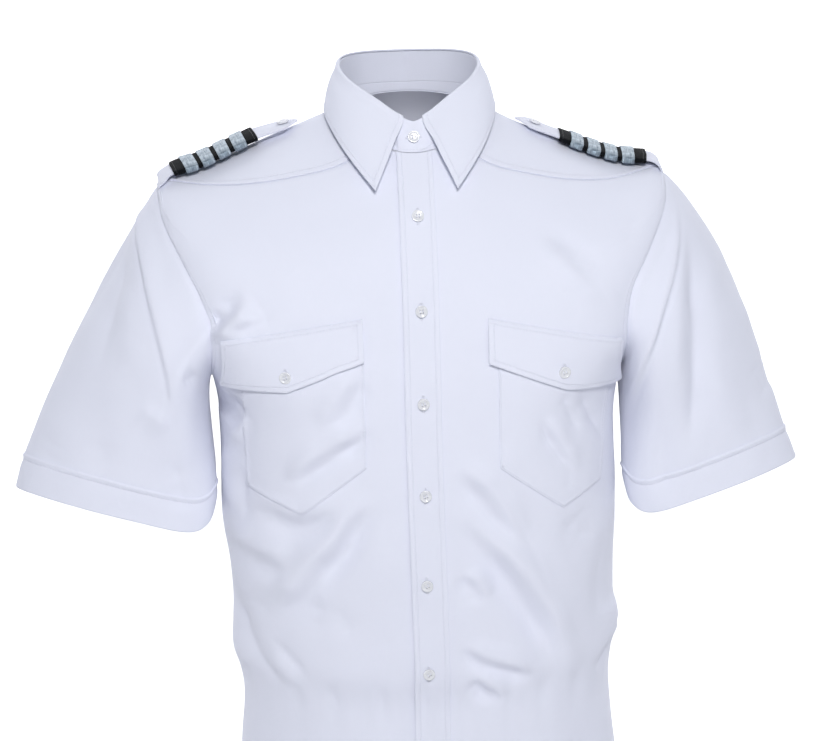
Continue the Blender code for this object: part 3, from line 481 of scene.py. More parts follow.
def sleeve_base(side, phi, s):
    """Sleeve tube without creases: phi round the armhole, s from the armhole to the hem."""
    spec = SLEEVES[side]
    sign = 1.0 if side == "left" else -1.0
    outer = np.array(spec["outer"])
    inner = np.array(spec["inner"])
    centre = (outer + inner) / 2.0
    across = outer - inner
    half = np.linalg.norm(across) / 2.0
    across = unit(across)
    axis = unit(np.cross(np.array([0.0, sign, 0.0]), across) + np.array([0.0, -0.15, 0.0]))
    ahead = unit(np.cross(axis, across)) * sign
    ahead = ahead if ahead[1] < 0 else -ahead
    start = armhole_points(side, phi)
    c = np.cos(np.radians(phi))[..., None]
    d = np.sin(np.radians(phi))[..., None]
    pinch = 1.0 - 0.25 * smooth(-2.0 * c)
    hem = centre + spec["depth"] * np.sign(d) * np.abs(d) ** pinch * ahead
    hem = hem + half * np.sign(c) * np.abs(c) ** pinch * across
    hem = hem + np.array([0.0, 0.0, spec["rise"]]) * np.clip(-c, 0.0, 1.0) ** 6
    top = np.array(spec["leave"])
    under = np.array([sign * 0.26, 0.0, -0.96])
    middle = np.array([sign * 0.62, 0.0, -0.62])
    up = np.clip(c, 0.0, 1.0)
    down = np.clip(-c, 0.0, 1.0)
    leave = unit(top * up ** 2 + under * down ** 2 + (middle + np.array([0, -0.16, 0]) * d) * d ** 2)
    start = start + leave * 0.5
    reach = np.linalg.norm(hem - start, axis=-1, keepdims=True)
    m0 = leave * reach * spec["bow"]
    m1 = axis * reach
    s = np.asarray(s, float)[..., None]
    return ((2 * s ** 3 - 3 * s ** 2 + 1) * start + (s ** 3 - 2 * s ** 2 + s) * m0
            + (-2 * s ** 3 + 3 * s ** 2) * hem + (s ** 3 - s ** 2) * m1)


def armhole_tuck(side, phi):
    """Rows of the sleeve that lie under the body panels, and the torso's normal there."""
    theta, t = armhole_angles(phi, side)
    ring = armhole_points(side, phi)
    way = unit(armhole_points(side, phi + 1.0) - armhole_points(side, phi - 1.0))
    normal = torso_base_normal(theta, t)
    inward = unit(np.cross(normal, way))
    if np.sum(inward * (ring - ring.mean(axis=0))) < 0:
        inward = -inward
    rows = [ring + inward * d - normal * (TUCK_DEPTH + 0.1) for d in (5.5, 4.0, 2.6, 1.3)]
    return np.array(rows), normal


# Patches of cloth


def grid_normals(points, away, wrap=False):
    """Unit normals of a grid of points, on the side that away points to."""
    if wrap:
        ring = points[:, :-1]
        across = np.roll(ring, -1, axis=1) - np.roll(ring, 1, axis=1)
        across = np.concatenate([across, across[:, :1]], axis=1)
    else:
        across = np.gradient(points, axis=1)
    n = unit(np.cross(across, np.gradient(points, axis=0)))
    return n if np.sum(n * away) > 0 else -n


class Patch:
    """Outer points of one cloth patch in mm, with the way along it from each of its edges."""

    def __init__(self, points, away, wrap=False):
        self.points = points
        self.away = away
        self.wrap = wrap
        self.measure()

    def measure(self):
        p = self.points
        self.across = np.zeros(p.shape[:2])
        self.across[:, 1:] = np.cumsum(np.linalg.norm(np.diff(p, axis=1), axis=2), axis=1)
        self.down = np.zeros(p.shape[:2])
        self.down[1:] = np.cumsum(np.linalg.norm(np.diff(p, axis=0), axis=2), axis=0)
        self.reach = {"start": self.across, "end": self.across[:, -1:] - self.across,
                      "top": self.down, "bottom": self.down[-1:] - self.down}
        self.normals = grid_normals(p, self.away, self.wrap)

    def lift(self, height):
        self.points = self.points + self.normals * np.asarray(height)[..., None]
        self.measure()

    def from_edge(self, edges):
        return np.min([self.reach[e] for e in edges], axis=0)

    def seam_map(self, edges, row):
        """Distance past the stitched row, and the way along the edge that is nearest."""
        if not edges:
            return np.stack([np.full(self.across.shape, 1.0), self.down * MM], axis=-1)
        stack = np.array([self.reach[e] for e in edges])
        nearest = stack.argmin(axis=0)
        run = np.array([self.down if e in ("start", "end") else self.across for e in edges])
        along = np.take_along_axis(run, nearest[None], axis=0)[0]
        return np.stack([(stack.min(axis=0) - row) * MM, along * MM], axis=-1)

    def line_inside(self, edge, distance):
        """Points and normals of a line that keeps its distance inside an edge."""
        reach, points, normals = self.reach[edge], self.points, self.normals
        if edge in ("top", "bottom"):
            reach = reach.T
            points = points.swapaxes(0, 1)
            normals = normals.swapaxes(0, 1)
        line, ups = [], []
        index = np.arange(reach.shape[1], dtype=float)
        for way, row, up in zip(reach, points, normals):
            if way.max() < 2.2 * distance:
                continue
            if way[0] > way[-1]:
                at = np.interp(distance, way[::-1], index[::-1])
            else:
                at = np.interp(distance, way, index)
            k = min(int(at), len(index) - 2)
            f = at - k
            line.append(row[k] * (1.0 - f) + row[k + 1] * f)
            ups.append(up[k] * (1.0 - f) + up[k + 1] * f)
        return np.array(line), unit(np.array(ups))


def turned_edge(patch, edges, width=6.5, height=0.35, roll=0.5, brink=1.4):
    """Doubled cloth beside a sewn edge, and the edge's rounded brink."""
    reach = patch.from_edge(edges)
    band = height * (1.0 - smooth((reach - width) / 2.2))
    patch.lift(band - roll * np.clip(1.0 - reach / brink, 0.0, 1.0) ** 2)


CLOSE_STEPS = (0.0, 0.5, 1.2, 2.2, 3.6, 5.2, 6.4, 7.6)


def edge_steps(length, pitch, first=True, last=True, close=CLOSE_STEPS):
    """Positions from 0 to 1: close together near a turned edge, even elsewhere."""
    head = np.array(close if first else (0.0,))
    foot = length - np.array(close if last else (0.0,))[::-1]
    count = max(2, int(round((foot[0] - head[-1]) / pitch)) + 1)
    middle = np.linspace(head[-1], foot[0], count)[1:-1]
    return np.concatenate([head, middle, foot]) / length


def body_rows(first_t, last_t, theta, pitch, first, last):
    """Rings at even distances down the torso at one angle."""
    t = np.linspace(first_t, last_t, 800)
    line = torso_base(np.full(800, float(theta)), t)
    keys = np.concatenate([[0.0], np.cumsum(np.linalg.norm(np.diff(line, axis=0), axis=1))])
    return np.interp(edge_steps(keys[-1], pitch, first, last) * keys[-1], keys, t)


def armhole_rows(rows):
    """Rings of a panel, closer together where the armhole leaves the tip and the underarm."""
    phi = np.radians(np.array([0.0, 7.0, 11.0, 15.0, 19.0, 23.0, 27.0, 31.0, 35.0]))
    tip = T_TIP + (T_UNDER - T_TIP) * (1.0 - np.cos(phi)) / 2.0
    under = T_UNDER + T_TIP - tip
    extra = np.concatenate([tip, under])
    extra = extra[(extra > rows[0] + 0.02) & (extra < rows[-1] - 0.02)]
    near_tip = (rows > T_TIP - 0.02) & (rows < tip[-1] + 0.02)
    near_under = (rows > under[-1] - 0.02) & (rows < T_UNDER + 0.02)
    keep = ~(near_tip | near_under)
    keep[0] = True
    keep[-1] = True
    return np.sort(np.concatenate([rows[keep], extra]))


def squeeze(u):
    """How much a panel's column follows the armhole: only the outer ones do."""
    return smooth((u - 0.4) / 0.6)


PITCH = 3.0


def tuck_depth(inside):
    """How deep cloth lies near the edge of the panel that is sewn over it."""
    return TUCK_DEPTH * (1.0 - smooth(inside / 3.2))


def front_patch(side):
    rows = armhole_rows(body_rows(0.004, 16.0, 35.0, PITCH, False, True))
    first = centre_angle(rows)
    last = front_edge(rows)
    reach = np.linalg.norm(torso_base(last, rows)[..., :2], axis=-1)
    under_yoke = TUCK * smooth((T_TIP - 0.02 - rows) / 0.25)
    end = last + np.degrees(under_yoke / reach)
    u = edge_steps(232.0, PITCH, False, True)
    bite = np.where(rows < T_TIP, 0.0, last - 90.0)
    theta = first[:, None] + (end - bite - first)[:, None] * u + bite[:, None] * squeeze(u)
    inside = np.radians(last[:, None] - theta) * reach[:, None]
    t = np.repeat(rows[:, None], len(u), axis=1)
    if side == "right":
        theta = -theta
    points = torso(theta, t)
    patch = Patch(points, points * np.array([1.0, 1.0, 0.0]))
    patch.lift(-tuck_depth(inside) * (under_yoke / TUCK)[:, None])
    if side == "right":
        patch.lift(-UNDERLAP_DIP * smooth((patch.points[..., 0] + OVERLAP + 26.0) / 24.0))
    open_edge = smooth((rows - T_TIP + 0.1) / 0.3)[:, None]
    reach = patch.from_edge(["end", "bottom"])
    patch.lift(0.35 * (1.0 - smooth((reach - 6.5) / 2.2)) * open_edge
               - 0.5 * np.clip(1.0 - reach / 1.4, 0.0, 1.0) ** 2)
    return patch


def yoke_patch():
    neck = body_rows(0.004, T_TIP, 120.0, PITCH, False, False)
    low = body_rows(T_TIP, YOKE_RING - 0.004, 180.0, PITCH, False, True)
    rows = np.concatenate([neck, armhole_rows(low)[1:]])
    edge = np.where(rows < T_TIP, front_edge(rows), outer_edge(rows, -ARMHOLE_BACK))
    u = edge_steps(480.0, PITCH)
    bite = np.where(rows < T_TIP, 0.0, edge - 90.0)
    whole = edge - bite
    theta = whole[:, None] + (360.0 - 2.0 * whole)[:, None] * u
    theta = theta + bite[:, None] * (squeeze(1.0 - 2.0 * u) - squeeze(2.0 * u - 1.0))
    t = np.repeat(rows[:, None], len(u), axis=1)
    points = torso(theta, t)
    patch = Patch(points, points * np.array([1.0, 1.0, 0.0]) + np.array([0.0, 0.0, 60.0]))
    turned_edge(patch, ["start", "end", "bottom"], 6.5, 0.15, 0.3)
    return patch


def back_patch():
    rows = armhole_rows(body_rows(YOKE_RING - 0.09, 16.0, 150.0, PITCH, True, True))
    edge = outer_edge(rows, -ARMHOLE_BACK)
    reach = np.linalg.norm(torso_base(edge, rows)[..., :2], axis=-1)
    under_front = TUCK * smooth((rows - T_UNDER - 0.02) / 0.25)
    start = edge - np.degrees(under_front / reach)
    u = edge_steps(440.0, PITCH)
    bite = edge - 90.0
    whole = start - bite
    theta = whole[:, None] + (360.0 - 2.0 * whole)[:, None] * u
    theta = theta + bite[:, None] * (squeeze(1.0 - 2.0 * u) - squeeze(2.0 * u - 1.0))
    inside = np.radians(np.minimum(theta, 360.0 - theta) - edge[:, None]) * reach[:, None]
    t = np.repeat(rows[:, None], len(u), axis=1)
    points = torso(theta, t)
    patch = Patch(points, points * np.array([1.0, 1.0, 0.0]))
    sides = tuck_depth(inside) * (under_front / TUCK)[:, None]
    upper = tuck_depth((t - YOKE_RING) * 50.0)
    patch.lift(-np.maximum(sides, upper))
    armhole = smooth((T_UNDER - rows) / 0.3)[:, None]
    reach = patch.from_edge(["start", "end", "bottom"])
    patch.lift(0.35 * (1.0 - smooth((reach - 6.5) / 2.2)) * np.maximum(armhole, smooth((t - 15.0) / 0.5))
               - 0.5 * np.clip(1.0 - reach / 1.4, 0.0, 1.0) ** 2)
    return patch


def placket_patch():
    rows = body_rows(0.02, 15.96, 5.0, PITCH, False, True)
    edge = centre_angle(rows, OVERLAP - 0.3)
    u = edge_steps(2.0 * OVERLAP, 2.2, close=(0.0, 0.5, 1.2, 2.4, 4.0, 5.4))
    theta = edge[:, None] * (1.0 - 2.0 * u)
    t = np.repeat(rows[:, None], len(u), axis=1)
    patch = Patch(torso(theta, t), np.array([0.0, -1.0, 0.0]))
    patch.lift(np.full(patch.across.shape, PLACKET_LIFT + PLACKET_WALL))
    turned_edge(patch, ["start", "end", "bottom"], 5.0, 0.2, 0.6)
    return patch


def fullness(side, base, phi, s):
    """Creases and uneven lie of a sleeve."""
    y = base[..., 1]
    total = creases(base, side) * smooth((-y + 5.0) / 20.0)
    seed = 21 if side == "left" else 31
    total = total + 0.5 * unevenness(base, seed, 80.0)
    total = total + 0.15 * unevenness(base, seed + 1, 28.0, (1.1, 1.0, 0.6))
    angle = np.radians(phi)
    behind = smooth((y + 20.0) / 40.0)
    drags = np.sin(5.0 * angle + 0.7 + 2.0 * s) + 0.7 * np.sin(8.0 * angle + 2.0)
    total = total + behind * 2.0 * drags * smooth(s / 0.25) * smooth((1.0 - s) / 0.3)
    return total * smooth(np.asarray(s) / 0.08)


def sleeve_angles():
    columns = 150
    return 180.0 + np.linspace(0.0, 360.0, columns + 1)


def band_start(side, phi, band):
    """Fraction of the sleeve at which a band of even width begins."""
    s = np.linspace(0.6, 1.0, 41)
    p, q = np.meshgrid(phi, s)
    steps = np.linalg.norm(np.diff(sleeve_base(side, p, q), axis=0), axis=2)
    left = np.vstack([np.cumsum(steps[::-1], axis=0)[::-1], np.zeros((1, len(phi)))])
    return np.array([np.interp(-band, -left[:, k], s) for k in range(len(phi))])


def sleeve_patch(side, first, last, length, fine_first, fine_last):
    phi = sleeve_angles()
    steps = edge_steps(length, PITCH, fine_first, fine_last)[:, None]
    q = first + (last - first) * steps
    p = np.repeat(phi[None, :], len(steps), axis=0)
    base = sleeve_base(side, p, q)
    away = base - base[:, :-1].mean(axis=1, keepdims=True)
    normals = grid_normals(base, away, True)
    points = base + normals * fullness(side, base, p, q)[..., None]
    if np.max(first) == 0.0:
        tucked, inner = armhole_tuck(side, phi)
        gone = np.concatenate([[0.0], np.cumsum(np.linalg.norm(np.diff(points[:, 20], axis=0), axis=1))])
        sink = (TUCK_DEPTH + 0.1) * (1.0 - smooth(gone / 5.0))
        points = points - inner[None] * sink[:, None, None]
        points = np.concatenate([tucked, points])
        away = np.concatenate([np.repeat(away[:1], len(tucked), axis=0), away])
    points[:, -1] = points[:, 0]
    return Patch(points, away, True)


def hem_patch(side):
    start = band_start(side, sleeve_angles(), HEM_BAND)[None, :]
    patch = sleeve_patch(side, start, np.ones_like(start), HEM_BAND, True, True)
    top = patch.reach["top"]
    low = patch.reach["bottom"]
    ridge = 1.3 * np.exp(-((top - 2.2) / 2.0) ** 2) - 0.25 * np.exp(-((top - 6.4) / 1.5) ** 2)
    swell = 0.7 * smooth((top - 6.0) / 8.0)
    brink = 1.0 * np.clip(1.0 - low / 1.6, 0.0, 1.0) ** 2
    patch.lift(0.15 + ridge + swell - brink)
    return patch


def pointed_patch(outline, lift, pitch, spread=0.0, crown=0.0, sewn_lift=None):
    """A flat piece sewn on the front: straight top edge, pointed lower edge."""
    top = np.array(outline["top"], float)
    low = np.array(outline["low"], float)
    lengths = np.linalg.norm(np.diff(low, axis=0), axis=1)
    keys = np.concatenate([[0.0], np.cumsum(lengths)]) / lengths.sum()

    def between(u, v):
        upper = top[0] + (top[1] - top[0]) * u[..., None]
        lower = np.stack([np.interp(u, keys, low[:, 0]), np.interp(u, keys, low[:, 1])], axis=-1)
        return upper + (lower - upper) * v[..., None]

    trial = np.linspace(0.0, 1.0, 120)
    line = between(trial, np.full(120, 0.5))
    theta, t = torso_angles(line[:, 0], line[:, 1])
    path = torso_base(theta, t)
    way = np.concatenate([[0.0], np.cumsum(np.linalg.norm(np.diff(path, axis=0), axis=1))])
    steps = edge_steps(way[-1], pitch)
    corner = np.interp(keys[1], trial, way) / way[-1]
    steps = np.sort(np.append(steps[np.abs(steps - corner) > 0.4 * pitch / way[-1]], corner))
    u = np.interp(steps * way[-1], way, trial)
    tall = abs(low[:, 1].mean() - top[:, 1].mean())
    v = edge_steps(tall, pitch)
    uu, vv = np.meshgrid(u, v)
    flat = between(uu, vv)
    theta, t = torso_angles(flat[..., 0], flat[..., 1])
    patch = Patch(torso(theta, t), np.array([0.0, -1.0, 0.0]))
    inside = patch.from_edge(["start", "end", "top", "bottom"])
    height = np.full(patch.across.shape, float(lift))
    if sewn_lift is not None:
        height = sewn_lift + (height - sewn_lift) * smooth(patch.down / 4.6)
    height = height + crown * smooth(inside / 26.0)
    height = height + spread * (1.0 - smooth(patch.reach["bottom"] / 27.0)) * smooth(patch.down / 16.0)
    patch.lift(height)
    return patch


def pocket_patch(side):
    patch = pointed_patch(POCKETS[side], POCKET_LIFT + POCKET_WALL, 2.6, crown=1.1)
    turned_edge(patch, ["start", "end", "bottom"], 3.2, 0.25, 0.6)
    return patch


def flap_patch(side):
    patch = pointed_patch(FLAPS[side], FLAP_LIFT + FLAP_WALL, 2.4, spread=FLAP_SPREAD, sewn_lift=1.25)
    turned_edge(patch, ["start", "end", "bottom"], 6.0, 0.12, 0.6)
    patch.lift(-0.9 * np.clip(1.0 - patch.down / 1.6, 0.0, 1.0) ** 2)
    return patch


def mirror_angle(curve, alpha):
    """Collar table read on both sides: negative angles are the wearer's right."""
    values = curve(np.abs(alpha)).copy()
    values[..., 0] *= np.where(alpha < 0, -1.0, 1.0)
    return values


def collar_leaf_patch():
    alpha = -LEAF_END + 2.0 * LEAF_END * edge_steps(560.0, 2.6)
    fold = mirror_angle(FOLD_CURVE, alpha)
    edge = mirror_angle(EDGE_CURVE, alpha)
    radial = unit(np.stack([fold[:, 0], fold[:, 1], np.zeros(len(alpha))], axis=1))
    up = np.array([0.0, 0.0, 1.0])
    rows = [fold - radial * 0.7 + up * 1.9, fold + radial * 1.3 + up * 2.1]
    shoulder = fold + radial * 3.1 - up * 1.2
    for v in (0.0, 0.22, 0.46, 0.72, 1.0):
        belly = math.sin(math.pi * v) * 2.3
        rows.append(shoulder + (edge - shoulder) * v + radial * belly)
    rows = np.array(rows)
    chord = np.linalg.norm(np.diff(rows, axis=0), axis=2).mean(axis=1)
    keys = np.concatenate([[0.0], np.cumsum(chord)])
    curve = Curve(np.column_stack([keys, rows.reshape(len(rows), -1)]))
    head = np.array([0.0, 0.8, 1.6, 2.5, 3.5, 4.7, 6.2, 8.0]) / keys[-1]
    rest = edge_steps(keys[-1], 2.4, False, True)
    v = np.concatenate([head, rest[rest > 9.6 / keys[-1]]])
    points = curve(v * keys[-1]).reshape(len(v), len(alpha), 3)
    patch = Patch(points, np.repeat(radial[None], len(v), axis=0))
    patch.lift(0.22 * unevenness(points, 41, 52.0) * smooth(patch.down / 12.0))
    turned_edge(patch, ["start", "end", "bottom"], 5.6, 0.3, 0.7)
    return patch


def collar_stand_patch():
    alpha = -STAND_END + 2.0 * STAND_END * edge_steps(430.0, 2.8)
    foot = torso(180.0 - alpha, np.zeros_like(alpha))
    head = mirror_angle(FOLD_CURVE, alpha)
    radial = unit(foot * np.array([1.0, 1.0, 0.0]))
    tuck = -UNDERLAP_DIP * smooth((-alpha - 140.0) / 26.0)
    v = edge_steps(36.0, 2.4, close=(0.0, 0.6, 1.4, 2.6))[:, None, None]
    rise = unit(head - foot)
    points = foot + rise * 0.5 + (head - foot - rise * 0.5) * v
    points = points + (radial * tuck[:, None])[None] + radial[None] * np.sin(np.pi * v) * 0.6
    patch = Patch(points, np.repeat(radial[None], len(v), axis=0))
    patch.lift(0.12 * unevenness(points, 43, 46.0))
    turned_edge(patch, ["start", "end"], 3.0, 0.1, 0.6)
    return patch


def shoulder_point(x, side):
    """Top of the shoulder at half width x."""
    sign = 1.0 if side == "left" else -1.0
    t = 0.0
    for _ in range(60):
        here = torso_base(np.array(90.0 * sign), np.array(t))[0] * sign
        t = min(max(t + (x - here) / 60.0, 0.0), T_TIP)
    return torso_base(np.array(90.0 * sign), np.array(t))


def strap_line(side):
    """Centre line of a strap and its length."""
    path = np.array(STRAPS[side], float)
    base = np.array([shoulder_point(x, side) for x in path[:, 0]])
    base[:, 1] += path[:, 1]
    base[:, 2] += path[:, 2]
    keys = np.concatenate([[0.0], np.cumsum(np.linalg.norm(np.diff(base, axis=0), axis=1))])
    return Curve(np.column_stack([keys, base])), keys[-1]


STRAP_LINES = {side: strap_line(side) for side in STRAPS}


def strap_points(side, station, y, z):
    """Points in a strap's cross section: y across it, z above its top."""
    curve, length = STRAP_LINES[side]
    s = np.asarray(station) * length
    point = curve(s)
    along = unit(curve(np.clip(s + 0.5, 0, length)) - curve(np.clip(s - 0.5, 0, length)))
    up = np.stack([-along[..., 2], np.zeros(s.shape), along[..., 0]], axis=-1)
    up = unit(np.where(up[..., 2:3] < 0, -up, up))
    turn = np.sign(along[..., 0])
    across = unit(np.stack([-along[..., 1] * turn, along[..., 0] * turn, np.zeros(s.shape)], axis=-1))
    fall = STRAP_TILT * y - STRAP_ARCH * (2.0 * y / STRAP_WIDTH) ** 2
    return point + across * np.asarray(y)[..., None] + up * (z + fall)[..., None]


def station_of(side, x):
    """Length fraction at which a strap passes half width x."""
    curve, length = STRAP_LINES[side]
    s = np.linspace(0.0, length, 400)
    return float(s[np.argmin(np.abs(np.abs(curve(s)[:, 0]) - x))] / length)


def strap_patch(side):
    length = STRAP_LINES[side][1]
    station = edge_steps(length, 2.8, False, True)
    tip = STRAP_POINT / length
    narrow = 1.0 - 0.9 * np.clip((station - (1.0 - tip)) / tip, 0.0, 1.0)
    y = STRAP_WIDTH * (edge_steps(STRAP_WIDTH, 2.6, close=(0.0, 0.5, 1.2, 2.4, 4.4, 5.6)) - 0.5)
    across = narrow[:, None] * y[None, :]
    along = np.repeat(station[:, None], len(y), axis=1)
    patch = Patch(strap_points(side, along, across, np.zeros(across.shape)), np.array([0.0, 0.0, 1.0]))
    patch.lift(0.18 * unevenness(patch.points, 47, 40.0))
    turned_edge(patch, ["start", "end", "bottom"], 5.0, 0.2, 0.7)
    return patch


def tube_patch(side, stations, half, low, high, ease):
    """Flat tube round a strap. ease draws the section in at each row."""
    angle = 2.0 * np.pi * np.linspace(0.0, 1.0, 97) - 0.5 * np.pi
    c = np.cos(angle)[None, :]
    s = np.sin(angle)[None, :]
    ease = np.asarray(ease)[:, None]
    y = (half - ease) * np.sign(c) * np.abs(c) ** 0.5
    z = (low + high) / 2.0 + ((high - low) / 2.0 - ease) * np.sign(s) * np.abs(s) ** 0.35
    along = np.repeat(np.asarray(stations)[:, None], 97, axis=1)
    points = strap_points(side, along, y, z)
    points[:, -1] = points[:, 0]
    away = points - points[:, :-1].mean(axis=1, keepdims=True)
    return Patch(points, away, True)


def slide_sizes(side):
    low_x, high_x = SLIDE_SPAN[side]
    gap = (SLIDE_INNER - STRAP_WALL) / 2.0
    half = (SLIDE_WIDTH - 3.0 * SLIDE_WALL) / 2.0 + SLIDE_WALL * 1.5
    below = -STRAP_WALL - gap - SLIDE_WALL
    above = gap + SLIDE_WALL
    return station_of(side, high_x), station_of(side, low_x), half, below, above


def slide_patch(side):
    first, last, half, low, high = slide_sizes(side)
    span = (last - first) * STRAP_LINES[side][1]
    way = edge_steps(span, 2.0, close=(0.0, 0.4, 1.0, 2.0, 3.4))
    rim = np.minimum(way, 1.0 - way) * span
    ease = 0.7 * np.clip(1.0 - rim / 1.4, 0.0, 1.0) ** 2 + 0.12 * np.exp(-((rim - 4.0) / 1.0) ** 2)
    patch = tube_patch(side, first + (last - first) * way, half, low, high, ease)
    patch.lift(0.14 * unevenness(patch.points, 51, 24.0))
    return patch


def stripe_patch(side, number):
    first, last, half, low, high = slide_sizes(side)
    length = STRAP_LINES[side][1]
    span = (last - first) * length
    margin = (span - STRIPE_PITCH * (STRIPES - 1) - STRIPE_WIDTH) / 2.0
    begin = margin + number * STRIPE_PITCH
    way = edge_steps(STRIPE_WIDTH, 1.2, close=(0.0, 0.35, 0.8, 1.5))
    rim = np.minimum(way, 1.0 - way) * STRIPE_WIDTH
    ease = 0.55 * np.clip(1.0 - rim / 1.3, 0.0, 1.0) ** 2
    clear = 0.45
    return tube_patch(side, first + (begin + STRIPE_WIDTH * way) / length,
                      half + clear + STRIPE_WALL * 1.5, low - clear - STRIPE_WALL,
                      high + clear + STRIPE_WALL, ease)


# Making the pieces


def clear_selection():
    if bpy.context.object and bpy.context.object.mode != "OBJECT":
        bpy.ops.object.mode_set(mode="OBJECT")
    bpy.ops.object.select_all(action="DESELECT")


def lay_uv(mesh, name, values):
    """UV map from one pair of numbers per vertex."""
    corner = np.zeros(len(mesh.loops), np.int32)
    mesh.loops.foreach_get("vertex_index", corner)
    layer = mesh.uv_layers.new(name=name)
    layer.data.foreach_set("uv", values.reshape(-1, 2)[corner].astype(np.float32).ravel())


def cloth_piece(name, patch, wall, material, edges=(), row=6.0):
    """A cloth patch with its wall, weave map and seam map."""
    rows, columns = patch.points.shape[:2]
    clear_selection()
    bpy.ops.mesh.primitive_grid_add(x_subdivisions=columns - 1, y_subdivisions=rows - 1,
                                    size=1.0, calc_uvs=False)
    piece = bpy.context.active_object
    piece.name = name
    mesh = piece.data
    mesh.name = name
    mesh.vertices.foreach_set("co", (patch.points * MM).astype(np.float32).ravel())
    lay_uv(mesh, "weave", np.stack([patch.across, patch.down], axis=-1) * MM)
    lay_uv(mesh, "seam", patch.seam_map(list(edges), row))
    mesh.update()
    facing = 0.0
    flat = patch.normals.reshape(-1, 3)
    for face in list(mesh.polygons)[::7]:
        facing += face.normal.dot(Vector(flat[face.vertices[0]])) * face.area
    bpy.ops.object.mode_set(mode="EDIT")
    bpy.ops.mesh.select_all(action="SELECT")
    if facing < 0:
        bpy.ops.mesh.flip_normals()
    if patch.wrap:
        bpy.ops.mesh.remove_doubles(threshold=0.000002)
    bpy.ops.object.mode_set(mode="OBJECT")
    thicken = piece.modifiers.new("wall", "SOLIDIFY")
    thicken.thickness = wall * MM
    thicken.offset = -1.0
    thicken.use_quality_normals = True
    bpy.ops.object.modifier_apply(modifier="wall")
    bpy.ops.object.shade_smooth_by_angle(angle=math.radians(62.0))
    mesh.materials.clear()
    mesh.materials.append(material)
    return piece


def dress(piece, node):
    """The piece stands for its node and moves with the shirt."""
    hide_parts(node)
    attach(piece, "root")
    return piece


def one_stitch():
    """A short thread lying along X, in mm, as vertices and faces."""
    clear_selection()
    bpy.ops.mesh.primitive_uv_sphere_add(segments=6, ring_count=4, radius=1.0, calc_uvs=False)
    ball = bpy.context.active_object
    co = np.array([v.co for v in ball.data.vertices])
    faces = [list(p.vertices) for p in ball.data.polygons]
    bpy.data.objects.remove(ball, do_unlink=True)
    half = np.array([STITCH_LENGTH / 2.0, STITCH_WIDTH / 2.0, 0.24])
    return np.stack([co[:, 2], co[:, 0], co[:, 1]], axis=1) * half, faces


STITCH, STITCH_FACES = one_stitch()


def sewn_row(line, ups, pitch=STITCH_PITCH):
    """Places of the stitches along a line: centre, direction, up, length scale."""
    way = np.concatenate([[0.0], np.cumsum(np.linalg.norm(np.diff(line, axis=0), axis=1))])
    count = int(way[-1] / pitch)
    if count < 2:
        return []
    spots = (np.arange(count) + 0.5) * way[-1] / count
    centre = np.stack([np.interp(spots, way, line[:, k]) for k in range(3)], axis=1)
    ahead = np.stack([np.interp(spots + 0.8, way, line[:, k]) for k in range(3)], axis=1)
    behind = np.stack([np.interp(spots - 0.8, way, line[:, k]) for k in range(3)], axis=1)
    up = unit(np.stack([np.interp(spots, way, ups[:, k]) for k in range(3)], axis=1))
    along = unit(ahead - behind)
    return [(c + u * 0.06, a, u, 1.0) for c, a, u in zip(centre, along, up)]


def thread_piece(name, places, material):
    """Many stitches as one piece, each a copy of the one stitch."""
    vertices, faces = [], []
    for centre, along, up, scale in places:
        across = np.cross(up, along)
        base = len(vertices) * len(STITCH)
        turned = (centre + STITCH[:, :1] * scale * along + STITCH[:, 1:2] * across
                  + STITCH[:, 2:] * up)
        vertices.append(turned)
        faces.extend([[i + base for i in face] for face in STITCH_FACES])
    mesh = bpy.data.meshes.new(name)
    mesh.from_pydata((np.concatenate(vertices) * MM).tolist(), [], faces)
    mesh.update()
    for face in mesh.polygons:
        face.use_smooth = True
    mesh.materials.append(material)
    piece = bpy.data.objects.new(name, mesh)
    bpy.context.scene.collection.objects.link(piece)
    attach(piece, "root")
    return piece


def buttonhole(centre, along, up, length=15.0):
    """Close bars of thread round a slot."""
    along = unit(along)
    up = unit(up)
    across = np.cross(up, along)
    places = []
    for k in range(15):
        x = (k / 14.0 - 0.5) * length
        for side in (-1.0, 1.0):
            places.append((centre + along * x + across * side * 0.95 + up * 0.08, across, up, 0.62))
    for end in (-0.5, 0.5):
        for k in range(3):
            places.append((centre + along * (end * length + (k - 1) * 0.45 * np.sign(end))
                           + up * 0.14, across, up, 1.1))
    return places


# Finishes


def set_or_link(tree, socket, value):
    if isinstance(value, bpy.types.NodeSocket):
        tree.links.new(value, socket)
    else:
        socket.default_value = value


def calc(tree, operation, *values, clamp=False):
    node = tree.nodes.new("ShaderNodeMath")
    node.operation = operation
    node.use_clamp = clamp
    for socket, value in zip(node.inputs, values):
        set_or_link(tree, socket, value)
    return node.outputs[0]


def new_group(name, inputs, outputs):
    """Empty node group with named sockets."""
    tree = bpy.data.node_groups.new(name, "ShaderNodeTree")
    for label, kind, value in inputs:
        socket = tree.interface.new_socket(name=label, in_out="INPUT", socket_type=kind)
        if value is not None:
            socket.default_value = value
    for label, kind in outputs:
        tree.interface.new_socket(name=label, in_out="OUTPUT", socket_type=kind)
    return tree, tree.nodes.new("NodeGroupInput"), tree.nodes.new("NodeGroupOutput")


def place_group(tree, group, **values):
    node = tree.nodes.new("ShaderNodeGroup")
    node.node_tree = group
    for label, value in values.items():
        set_or_link(tree, node.inputs[label.replace("_", " ")], value)
    return node


def noise(tree, vector, scale, detail=2.0, roughness=0.5):
    node = tree.nodes.new("ShaderNodeTexNoise")
    tree.links.new(vector, node.inputs["Vector"])
    node.inputs["Scale"].default_value = scale
    node.inputs["Detail"].default_value = detail
    node.inputs["Roughness"].default_value = roughness
    return node.outputs[0]


